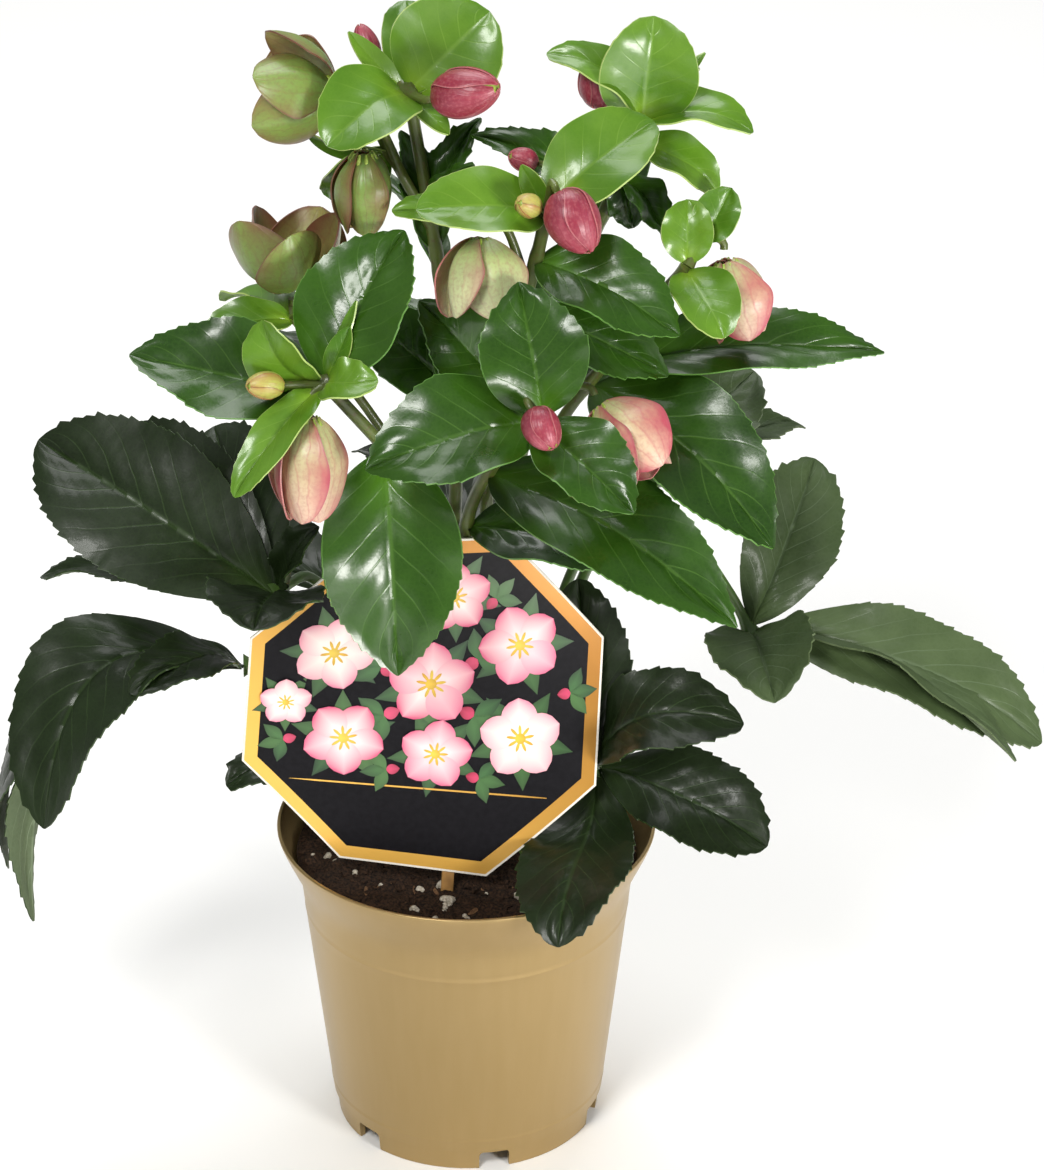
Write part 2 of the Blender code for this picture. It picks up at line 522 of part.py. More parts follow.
def blade_normal(spec, u, v):
    """Upper side of the middle sheet at u, v."""
    low_u, high_u = max(u - NORMAL_STEP, 0.0), min(u + NORMAL_STEP, 1.0)
    low_v, high_v = max(v - NORMAL_STEP, -1.0), min(v + NORMAL_STEP, 1.0)
    along = blade_point(spec, high_u, v)[0] - blade_point(spec, low_u, v)[0]
    across = blade_point(spec, u, high_v)[0] - blade_point(spec, u, low_v)[0]
    return along.cross(across).normalized()


def blade(spec):
    """A thin leaf, bract or sepal with teeth, triangulated alike on both sides."""
    kind = KINDS[spec.kind]
    rows, columns = kind.stations, kind.columns
    upper, lower = [], []
    for i in range(rows + 1):
        u = i / rows
        for j in range(columns + 1):
            v = 2 * j / columns - 1
            point, slope = blade_point(spec, u, v)
            normal = blade_normal(spec, u, v)
            if abs(v) == 1 and i % 2 and kind.tooth:
                centre = blade_point(spec, u, 0)[0]
                outward = (point - centre).normalized()
                point = point + (outward + slope * TOOTH_LEAN) * kind.tooth
            upper.append(point + normal * (BLADE_THICK / 2))
            lower.append(point - normal * (BLADE_THICK / 2))
    count = len(upper)
    faces = []
    width = columns + 1
    for i in range(rows):
        for j in range(columns):
            a, b = i * width + j, (i + 1) * width + j
            c, d = b + 1, a + 1
            pair = ((a, b, c), (a, c, d)) if j < columns / 2 else ((a, b, d), (b, c, d))
            for tri in pair:
                faces.append(tri)
                faces.append(tuple(n + count for n in tri[::-1]))
    rim = [i * width for i in range(rows + 1)]
    rim += [rows * width + j for j in range(1, width)]
    rim += [i * width + columns for i in range(rows - 1, -1, -1)]
    rim += list(range(columns - 1, 0, -1))
    for a, b in zip(rim, rim[1:] + rim[:1]):
        faces.append((b, a, a + count))
        faces.append((b, a + count, b + count))
    return upper + lower, faces


def turned(profile, sides):
    """A solid turned round Z from (radius, height) points, both ends on the axis."""
    verts, faces = [], []
    rings = []
    for radius, height in profile:
        if radius == 0:
            rings.append([len(verts)])
            verts.append((0, 0, height))
        else:
            rings.append(list(range(len(verts), len(verts) + sides)))
            for k in range(sides):
                turn = 2 * pi * k / sides
                verts.append((radius * cos(turn), radius * sin(turn), height))
    for low, high in zip(rings, rings[1:]):
        for k in range(sides):
            n = (k + 1) % sides
            if len(low) == 1:
                faces.append((low[0], high[n], high[k]))
            elif len(high) == 1:
                faces.append((low[k], low[n], high[0]))
            else:
                faces.append((low[k], low[n], high[n], high[k]))
    return verts, faces


def box(size, centre, turn=0.0):
    """A box of the given size, its centre swung round Z by turn."""
    half = Vector(size) / 2
    spin = Matrix.Rotation(turn, 3, "Z")
    verts = [spin @ (Vector(centre) + Vector((x * half.x, y * half.y, z * half.z)))
             for z in (-1, 1) for x, y in ((-1, -1), (1, -1), (1, 1), (-1, 1))]
    faces = [(3, 2, 1, 0), (4, 5, 6, 7)] + [(i, (i + 1) % 4, (i + 1) % 4 + 4, i + 4) for i in range(4)]
    return verts, faces


def cylinder(radius, low, high, x, y, sides):
    """An upright cylinder between two heights."""
    verts = [(x + radius * cos(2 * pi * k / sides), y + radius * sin(2 * pi * k / sides), z)
             for z in (low, high) for k in range(sides)]
    faces = [tuple(range(sides))[::-1], tuple(range(sides, 2 * sides))]
    faces += [(k, (k + 1) % sides, (k + 1) % sides + sides, k + sides) for k in range(sides)]
    return verts, faces


def make_pot():
    """Flared collar, tapered body, foot ring with notches, drain holes."""
    outside = [(0, 0)] + list(POT_FOOT) + list(POT_COLLAR) + list(POT_LIP)
    inside = [(radius - POT_WALL, z) for radius, z in reversed(POT_COLLAR[:-1])]
    inside += list(POT_INSIDE) + [(0, POT_WALL)]
    pot = solid("pot", *turned((outside + inside)[::-1], POT_SIDES), "gold_plastic")
    cutters = []
    for i in range(NOTCH_COUNT):
        turn = radians(NOTCH_FIRST_DEG) + 2 * pi * i / NOTCH_COUNT
        cutters.append(solid("notch", *box(NOTCH_SIZE, (NOTCH_R, 0, NOTCH_CENTRE_Z), turn)))
        x, y = DRAIN_RING_R * cos(turn), DRAIN_RING_R * sin(turn)
        cutters.append(solid("drain", *cylinder(DRAIN_R, DRAIN_LOW, DRAIN_HIGH, x, y, HOLE_SIDES)))
    return boolean(pot, cutters, "DIFFERENCE")


def soil_height(x, y):
    """Surface of the potting mix, crowned and uneven."""
    share = (x * x + y * y) / SOIL_TOP_R ** 2
    bumps = 0.7 * sin(0.31 * x + 1.3) * cos(0.27 * y) + 0.5 * sin(0.52 * y - 0.4 * x)
    return SOIL_EDGE_Z + SOIL_CROWN * (1 - share) + bumps * (1 - share)


def feet():
    """Where each stem and petiole stands in the soil, with its radius."""
    places = [(name, shoot["foot"], shoot["stalks"][0].start) for name, shoot in SHOOTS.items()]
    return places + [(name, plant["foot"], PETIOLE_R) for name, plant in BASAL.items()]


def make_soil():
    """Potting mix that fills the pot, with a hole for every stem and the stake."""
    verts, rings = [(0, 0, soil_height(0, 0))], [[0]]
    for share in SOIL_RINGS + (1.0,):
        ring = []
        for k in range(SOIL_SIDES):
            turn = 2 * pi * k / SOIL_SIDES
            x, y = SOIL_TOP_R * share * cos(turn), SOIL_TOP_R * share * sin(turn)
            ring.append(len(verts))
            verts.append((x, y, soil_height(x, y) if share < 1 else SOIL_EDGE_Z - SOIL_EDGE_DROP))
        rings.append(ring)
    for radius, height in SOIL_BELOW:
        ring = []
        for k in range(SOIL_SIDES):
            turn = 2 * pi * k / SOIL_SIDES
            ring.append(len(verts))
            verts.append((radius * cos(turn), radius * sin(turn), height))
        rings.append(ring)
    rings.append([len(verts)])
    verts.append((0, 0, POT_WALL + GAP))
    faces = []
    for top, low_ring in zip(rings, rings[1:]):
        for k in range(SOIL_SIDES):
            n = (k + 1) % SOIL_SIDES
            if len(top) == 1:
                faces.append((top[0], low_ring[k], low_ring[n]))
            elif len(low_ring) == 1:
                faces.append((top[k], low_ring[0], top[n]))
            else:
                faces.append((top[k], low_ring[k], low_ring[n]))
                faces.append((top[k], low_ring[n], top[n]))
    soil = solid("soil", verts, faces, "peat")
    cutters = []
    for _, (x, y), radius in feet():
        hole = cylinder(radius + HOLE_CLEAR, FOOT_Z - GAP, HOLE_TOP_Z, x, y, HOLE_SIDES)
        cutters.append(solid("hole", *hole))
    cutters.append(solid("slot", *stake_prism(HOLE_CLEAR)))
    return boolean(soil, cutters, "DIFFERENCE")


def label_place(x, depth, z):
    """From the card's own plane to the plant: roll, lean, turn and shift."""
    point = Vector((x, depth, z))
    point.rotate(Matrix.Rotation(radians(LABEL_ROLL), 3, "Y"))
    point.rotate(Matrix.Rotation(radians(-LABEL_LEAN), 3, "X"))
    point.rotate(Matrix.Rotation(radians(LABEL_YAW), 3, "Z"))
    return point + Vector(LABEL_CENTRE)


def stake_prism(clear):
    """The tapered stake, grown by clear on every side and upwards when it cuts."""
    half, thick = STAKE_W / 2 + clear, STAKE_THICK / 2 + clear
    top = STAKE_TOP + (SLOT_RISE if clear else 0)
    depth = LABEL_THICK / 2 + STAKE_THICK / 2 - STAKE_SINK
    verts = []
    tip = (STAKE_LOW - clear, STAKE_TIP_HALF + clear)
    for z, w in ((top, half), (STAKE_LOW + STAKE_TAPER, half), tip):
        back = depth + LABEL_WARP * STAKE_X * z
        for x, d in ((-w, -thick), (w, -thick), (w, thick), (-w, thick)):
            verts.append(label_place(STAKE_X + x, back + d, z))
    faces = [(3, 2, 1, 0), (8, 9, 10, 11)]
    for level in (0, 4):
        for i in range(4):
            n = (i + 1) % 4
            faces.append((level + i, level + n, level + 4 + n, level + 4 + i))
    return verts, faces


def make_label():
    """The octagonal card, gently warped, with its stake behind."""
    apothem = LABEL_ACROSS / 2
    verts = []
    for depth in (-LABEL_THICK / 2, LABEL_THICK / 2):
        verts.append(label_place(0, depth, 0))
        for share in LABEL_RINGS:
            for k in range(8):
                turn = pi / 8 + pi / 4 * k
                x = share * apothem / cos(pi / 8) * cos(turn)
                z = share * apothem / cos(pi / 8) * sin(turn)
                verts.append(label_place(x, depth + LABEL_WARP * x * z, z))
    faces = []
    for side, base in ((0, 0), (1, 17)):
        for k in range(8):
            n = (k + 1) % 8
            ring, outer = base + 1, base + 9
            tris = [(base, ring + k, ring + n), (ring + k, outer + k, outer + n),
                    (ring + k, outer + n, ring + n)]
            faces += [tri if side == 0 else tri[::-1] for tri in tris]
    for k in range(8):
        n = (k + 1) % 8
        faces += [(9 + k, 26 + k, 26 + n), (9 + k, 26 + n, 9 + n)]
    label = solid("label", verts, faces, "card")
    stake = solid("stake", *stake_prism(0.0))
    return boolean(label, [stake], "UNION")


def rooted(foot, points):
    """A stem's points with its straight foot in the soil put before them."""
    x, y = foot
    return [(x, y, FOOT_Z), (x, y, COLLAR_Z)] + list(points)


def flower_seat(name):
    """Where a flower or bud sits on its stalk, and the way it points."""
    if name in BLOOMS:
        seat, axis = BLOOMS[name][:2]
        return Vector(seat), Vector(axis).normalized()
    seat, tip = BUDS[name][:2]
    return Vector(seat), (Vector(tip) - Vector(seat)).normalized()


def stalk_points(spec):
    """A stalk's points, straightened below the flower that it carries."""
    if not spec.flower:
        return spec.points
    seat, axis = flower_seat(spec.flower)
    return spec.points + [seat - axis * SEAT_RUN, seat]


def make_shoot(name, shoot):
    """One flowering stem with its side stalks, bracts and leaves."""
    main_stem = shoot["stalks"][0]
    points = rooted(shoot["foot"], main_stem.points)
    stem = solid(name, *tube(points, main_stem.start, main_stem.end, STEM_SIDES), "green_stem")
    parts = []
    for spec in shoot["stalks"][1:]:
        parts.append(solid("stalk", *tube(stalk_points(spec), spec.start, spec.end, STALK_SIDES)))
    for spec in shoot["blades"]:
        parts.append(solid("blade", *blade(spec)))
    return boolean(stem, parts, "UNION")


def make_basal(name, plant):
    """One basal leaf: petiole and toothed leaflets."""
    points = rooted(plant["foot"], plant["petiole"])
    petiole = solid(name, *tube(points, PETIOLE_R, PETIOLE_END_R, STEM_SIDES), "dark_leaf")
    return boolean(petiole, [solid("blade", *blade(spec)) for spec in plant["leaflets"]], "UNION")


def frame_of(axis):
    """Rotation that takes +Z to the axis."""
    axis = Vector(axis).normalized()
    return axis.to_track_quat("Z", "Y").to_matrix()


def swept(profile, sides, seat, axis, ridges, lobes, wind=0.0):
    """A ridged turned solid along an axis, from (radius, height) points."""
    spin = frame_of(axis)
    verts, faces, rings = [], [], []
    for radius, height in profile:
        if radius == 0:
            rings.append([len(verts)])
            verts.append(seat + spin @ Vector((0, 0, height)))
            continue
        rings.append(list(range(len(verts), len(verts) + sides)))
        for k in range(sides):
            turn = 2 * pi * k / sides
            r = radius * (1 + ridges * cos(lobes * turn + wind * height))
            verts.append(seat + spin @ Vector((r * cos(turn), r * sin(turn), height)))
    for low, high in zip(rings, rings[1:]):
        for k in range(sides):
            n = (k + 1) % sides
            if len(low) == 1:
                faces.append((low[0], high[n], high[k]))
            elif len(high) == 1:
                faces.append((low[k], low[n], high[0]))
            else:
                faces += [(low[k], low[n], high[n]), (low[k], high[n], high[k])]
    return verts, faces


def sepals(seat, axis, length, width, opening, spin_deg):
    """Five overlapping sepals round the axis, cupped inwards."""
    turn_to = frame_of(axis)
    axis_dir = turn_to @ Vector((0, 0, 1))
    specs = []
    for k in range(SEPALS):
        turn = radians(spin_deg) + 2 * pi * k / SEPALS
        out = turn_to @ Vector((cos(turn), sin(turn), 0))
        lapped = Matrix.Rotation(radians(SEPAL_LAP), 3, axis_dir) @ out
        root = seat + axis_dir * SEPAL_RISE + out * SEPAL_OUT
        reach = radians(opening * (1.0 if k % 2 else SEPAL_INNER))
        tip = seat + axis_dir * (SEPAL_RISE + length * cos(reach)) + out * (length * sin(reach) * SEPAL_FLARE)
        specs.append(leaf("sepal", root, tip, width, -lapped, SEPAL_ARCH))
    return specs


def make_bloom(name, place):
    """A nodding flower: receptacle, stamens in a ridged boss, five sepals."""
    seat, axis, length, width, opening, spin_deg = place
    axis = Vector(axis).normalized()
    seat = Vector(seat) + axis * GAP
    tint = "green_sepal" if name in GREEN_FLOWERS else "pink_sepal"
    heart = solid(name, *swept(HEART, HEART_SIDES, seat, axis, HEART_RIDGES, HEART_LOBES), tint)
    parts = [solid("sepal", *blade(spec)) for spec in sepals(seat, axis, length, width, opening, spin_deg)]
    return boolean(heart, parts, "UNION")


def make_bud(name, place):
    """An unopened flower: sepals wrapped into an ovoid with four low ridges."""
    seat, tip, width = Vector(place[0]), Vector(place[1]), place[2]
    axis = (tip - seat).normalized()
    length = (tip - seat).length - GAP
    profile = [(across * width / 2, along * length) for across, along in BUD_SHAPE]
    tint = "green_bud" if name in GREEN_FLOWERS else "rose_bud"
    shape = swept(profile, BUD_SIDES, seat + axis * GAP, axis, BUD_RIDGES, BUD_LOBES, BUD_WIND)
    return solid(name, *shape, tint)


def main():
    for old in list(bpy.data.objects):
        bpy.data.objects.remove(old)
    make_pot()
    make_soil()
    make_label()
    for name, shoot in SHOOTS.items():
        make_shoot(name, shoot)
    for name, plant in BASAL.items():
        make_basal(name, plant)
    for name, place in BLOOMS.items():
        make_bloom(name, place)
    for name, place in BUDS.items():
        make_bud(name, place)


main()
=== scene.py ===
"""A flowering hellebore in its gold nursery pot: the finished look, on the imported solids.

Lengths in the tables are millimetres and MM turns them into metres. The pot stands on
z = 0 and the viewer's side is -Y. A leaf, bract or sepal is a grid bent into the same
form as its solid, with its teeth, veins and ripples added; a stalk is a grid rolled up
round its path.
"""
from collections import namedtuple
from functools import partial
from math import cos, pi, radians, sin, sqrt

import bpy
import numpy as np
from mathutils import Matrix, Vector, noise


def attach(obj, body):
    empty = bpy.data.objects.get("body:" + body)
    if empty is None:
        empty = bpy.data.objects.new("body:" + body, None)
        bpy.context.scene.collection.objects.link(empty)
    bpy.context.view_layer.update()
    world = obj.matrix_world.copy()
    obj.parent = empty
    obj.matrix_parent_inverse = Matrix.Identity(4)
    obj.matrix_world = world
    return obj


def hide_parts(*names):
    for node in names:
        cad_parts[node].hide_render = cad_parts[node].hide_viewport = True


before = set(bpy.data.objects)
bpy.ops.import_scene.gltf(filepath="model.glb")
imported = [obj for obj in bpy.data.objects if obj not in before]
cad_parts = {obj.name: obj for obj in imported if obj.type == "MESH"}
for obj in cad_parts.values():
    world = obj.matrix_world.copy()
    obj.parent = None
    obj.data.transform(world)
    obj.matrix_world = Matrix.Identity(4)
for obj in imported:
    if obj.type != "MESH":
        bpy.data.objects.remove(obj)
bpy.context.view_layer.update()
bpy.ops.object.select_all(action="DESELECT")

MM = 0.001
RNG = np.random.default_rng(7)

# Pot, soil and label, as the solids have them.
POT_WALL = 1.2
POT_FOOT = ((21.0, 0.0), (24.0, 6.8), (43.1, 6.8), (43.7, 0.0), (45.7, 0.0), (46.4, 7.4), (47.4, 8.0))
POT_COLLAR = ((57.0, 92.0), (58.3, 97.0), (61.0, 103.0), (63.9, 109.5), (65.0, 112.6))
POT_LIP = ((65.0, 112.7), (64.95, 113.0), (64.7, 113.25), (64.3, 113.3), (63.9, 113.2), (63.75, 112.9))
POT_INSIDE = ((46.2, 8.0), (24.8, 8.0), (21.6, 1.2))
BODY_FOOT, BODY_RUN = (47.4, 8.0), (8.8, 77.0)
BODY_ROWS, POT_COLUMNS = 14, 144
RING_HEIGHTS, RING_RISE, RING_HALF = (12.5, 83.0), 0.12, 0.5
NOTCH_COUNT, NOTCH_SIZE, NOTCH_R = 6, (9.0, 10.5, 8.6), 45.1
NOTCH_CENTRE_Z, NOTCH_FIRST_DEG, NOTCH_ROUND = 2.3, -78.0, 1.4
DRAIN_R, DRAIN_RING_R, DRAIN_Z, DRAIN_DEPTH = 3.6, 33.0, 7.4, 7.0
SOIL_TOP_R, SOIL_EDGE_Z, SOIL_CROWN, SOIL_EDGE_DROP = 58.5, 103.5, 2.6, 1.8
SOIL_ROUGH_FROM, SOIL_EDGE_WIDTH, SOIL_RINGS, SOIL_COLUMNS = 95.0, 4.0, 62, 220
SOIL_BELOW = ((55.5, 92.0), (45.9, 8.3), (25.4, 8.3), (21.9, 1.5))
FOOT_Z, COLLAR_Z = 88.0, 110.0
LABEL_ACROSS, LABEL_THICK = 118.4, 0.9
LABEL_CENTRE = (-13.7, -24.0, 172.2)
LABEL_ROLL, LABEL_YAW, LABEL_LEAN = 4.6, 4.8, 6.5
LABEL_WARP = 0.0040
CARD_SHARES, CARD_COLUMNS = (0, 0.2, 0.4, 0.6, 0.8, 0.915, 0.988, 1.0), 48
BORDER_ROW, RIM_ROW = 5, 6
PRINT_THICK = 0.04
BAND_Z, BAND_HALF, BAND_WIDTH = -30.0, 43.0, 0.6
STAKE_X, STAKE_W, STAKE_THICK, STAKE_TIP_HALF, STAKE_SINK = 12.0, 4.2, 1.8, 0.6, 0.3
STAKE_TOP, STAKE_LOW, STAKE_TAPER, STAKE_ROUND = -40.0, -84.0, 12.0, 0.35

# Lumps of the mix. The models: how many, flattening, rounds of faces, roughness. How they are
# strewn: how many, from and to which radius, sizes, share sunk in. Stones in front: x, y, size.
CRUMB_MODELS, CRUMBS = (5, 0.75, 2, 0.9), (520, 0, 57.0, (0.7, 2.1), 0.35)
STONE_MODELS, STONES = (4, 0.8, 3, 0.7), (46, 10, 56.0, (0.6, 1.5), 0.25)
SLIVER_MODELS, SLIVERS = (3, 0.35, 1, 0.5), (90, 0, 56.5, (0.9, 2.2), 0.2)
SLIVER_SHAPE = (2.6, 0.55, 0.8, 1)
FRONT_STONES = ((-7.0, -31.0, 2.7), (-5.5, -40.0, 2.3), (18.0, -36.0, 1.7))

# Blades and flowers, as the solids have them.
ROOT_SHIFT = 1.0
TIP_HALF = 0.35
BENDS = (0.33, 0.67)
RIPPLES, RIPPLE_SHIFT = 2.5, 0.3
VEIN_LEAN = 0.30
SEPALS, SEPAL_LAP = 5, 28.0
SEPAL_RISE, SEPAL_OUT = 2.6, 1.9
SEPAL_ARCH, SEPAL_INNER, SEPAL_FLARE = (-0.34, -0.22), 0.86, 0.92
HEART = ((0, 0), (1.6, 0), (3.7, 1.8), (3.7, 3.8), (3.0, 9.0), (0, 10.5))
SEAT_RUN = 3.0
PETIOLE_R, PETIOLE_END_R = 2.1, 1.7
GAP = 0.3
FRONT = (0.0, -0.88, 0.47)

# The fine blades' own measures: thicknesses in millimetres; the flat margin, heel and tip and
# the rib's groove as shares of the half width or the length; three grid rows to a tooth, on
# the outer fifth; and how much closer the columns lie near the rib.
BLADE_THICK, SEPAL_THICK, BUD_SKIN_THICK = 0.55, 0.5, 0.35
MARGIN_SHARE, HEEL_SHARE, TIP_SHARE = 0.25, 0.12, 0.10
RIB_SHARE, RIB_DEPTH = 0.07, 0.9
TOOTH_ROWS, TOOTH_EDGE = 3, 0.8
EDGE_SPREAD = 1.2

# Bud sepals: grid, the angle that each covers, its twist, and how it laps and puffs out.
BUD_COLUMNS, BUD_ROWS, BUD_COVER = 12, 22, 58.0
BUD_TWIST, BUD_LAP, BUD_PUFF, BUD_CORE = 0.7, 0.085, 0.03, 0.93

# Stalks: rows of grid per 10 mm, the swelling where something grows out, and the weld's reach.
STALK_STEPS, KNOT_SWELL, KNOT_REACH, WELD_REACH = 3.2, 0.28, 2.6, 0.01

# Inside a flower, in millimetres from its seat: counts, and (out, up) points with their radii.
STAMENS, STAMEN_TURN, STAMEN_FOOT = 26, 2.39996, 6.5
FILAMENT_RADII = (0.22, 0.2, 0.16)
ANTHER_STEPS, ANTHER_RADII = (-0.3, 0.2, 0.9, 1.5), (0.2, 0.62, 0.6, 0.2)
NECTARIES, NECTARY = 10, ((3.2, 3.6, 0.35), (4.1, 5.6, 0.75), (4.0, 7.4, 0.85))
CARPELS, CARPEL = 3, ((0.8, 8.0, 1.1), (1.1, 12.0, 0.7), (1.5, 15.0, 0.3))

# Kind: outline and section of a blade as in the solids; then what the fine blade adds:
# grid columns, teeth pitch and depth, where teeth start, side veins, relief and slow swell.
Kind = namedtuple("Kind", "widest point cup stalk fold wave columns pitch tooth bare veins relief swell")
KINDS = {
    "bract": Kind(0.48, 1.20, 0.20, 1.3, 8.0, 0.6, 14, 3.6, 0.40, 0.66, 6, 0.20, 0.50),
    "bractlet": Kind(0.46, 1.30, 0.15, 1.0, 12.0, 0.0, 8, 4.0, 0.0, 1.0, 4, 0.08, 0.15),
    "stem_leaf": Kind(0.44, 1.65, 0.12, 1.4, 12.0, 1.2, 16, 3.2, 0.75, 0.40, 7, 0.40, 0.90),
    "leaflet": Kind(0.55, 1.60, 0.06, 1.3, 9.0, 1.4, 16, 3.4, 1.15, 0.22, 9, 0.60, 0.90),
    "sepal": Kind(0.52, 1.05, 0.50, 1.2, 4.0, 0.0, 14, 2.0, 0.0, 1.0, 5, 0.10, 0.30),
}

Leaf = namedtuple("Leaf", "kind root tip width face arch sway fold twist")


def leaf(kind, root, tip, width, face=FRONT, arch=(0.1, 0.1), sway=0.0, fold=None, twist=0.0):
    """One blade, from root to tip, its upper side turned to face."""
    fold = KINDS[kind].fold if fold is None else fold
    root, tip = np.array(root, float), np.array(tip, float)
    root = root + (tip - root) / np.linalg.norm(tip - root) * ROOT_SHIFT
    return Leaf(kind, root, tip, width, np.array(face, float), arch, sway, fold, twist)


bract, bractlet, stem_leaf, leaflet = (
    partial(leaf, kind) for kind in ("bract", "bractlet", "stem_leaf", "leaflet"))

# A round stalk, by its first and last radius; one with a flower or bud runs on to its seat.
Stalk = namedtuple("Stalk", "start end points flower", defaults=(None,))

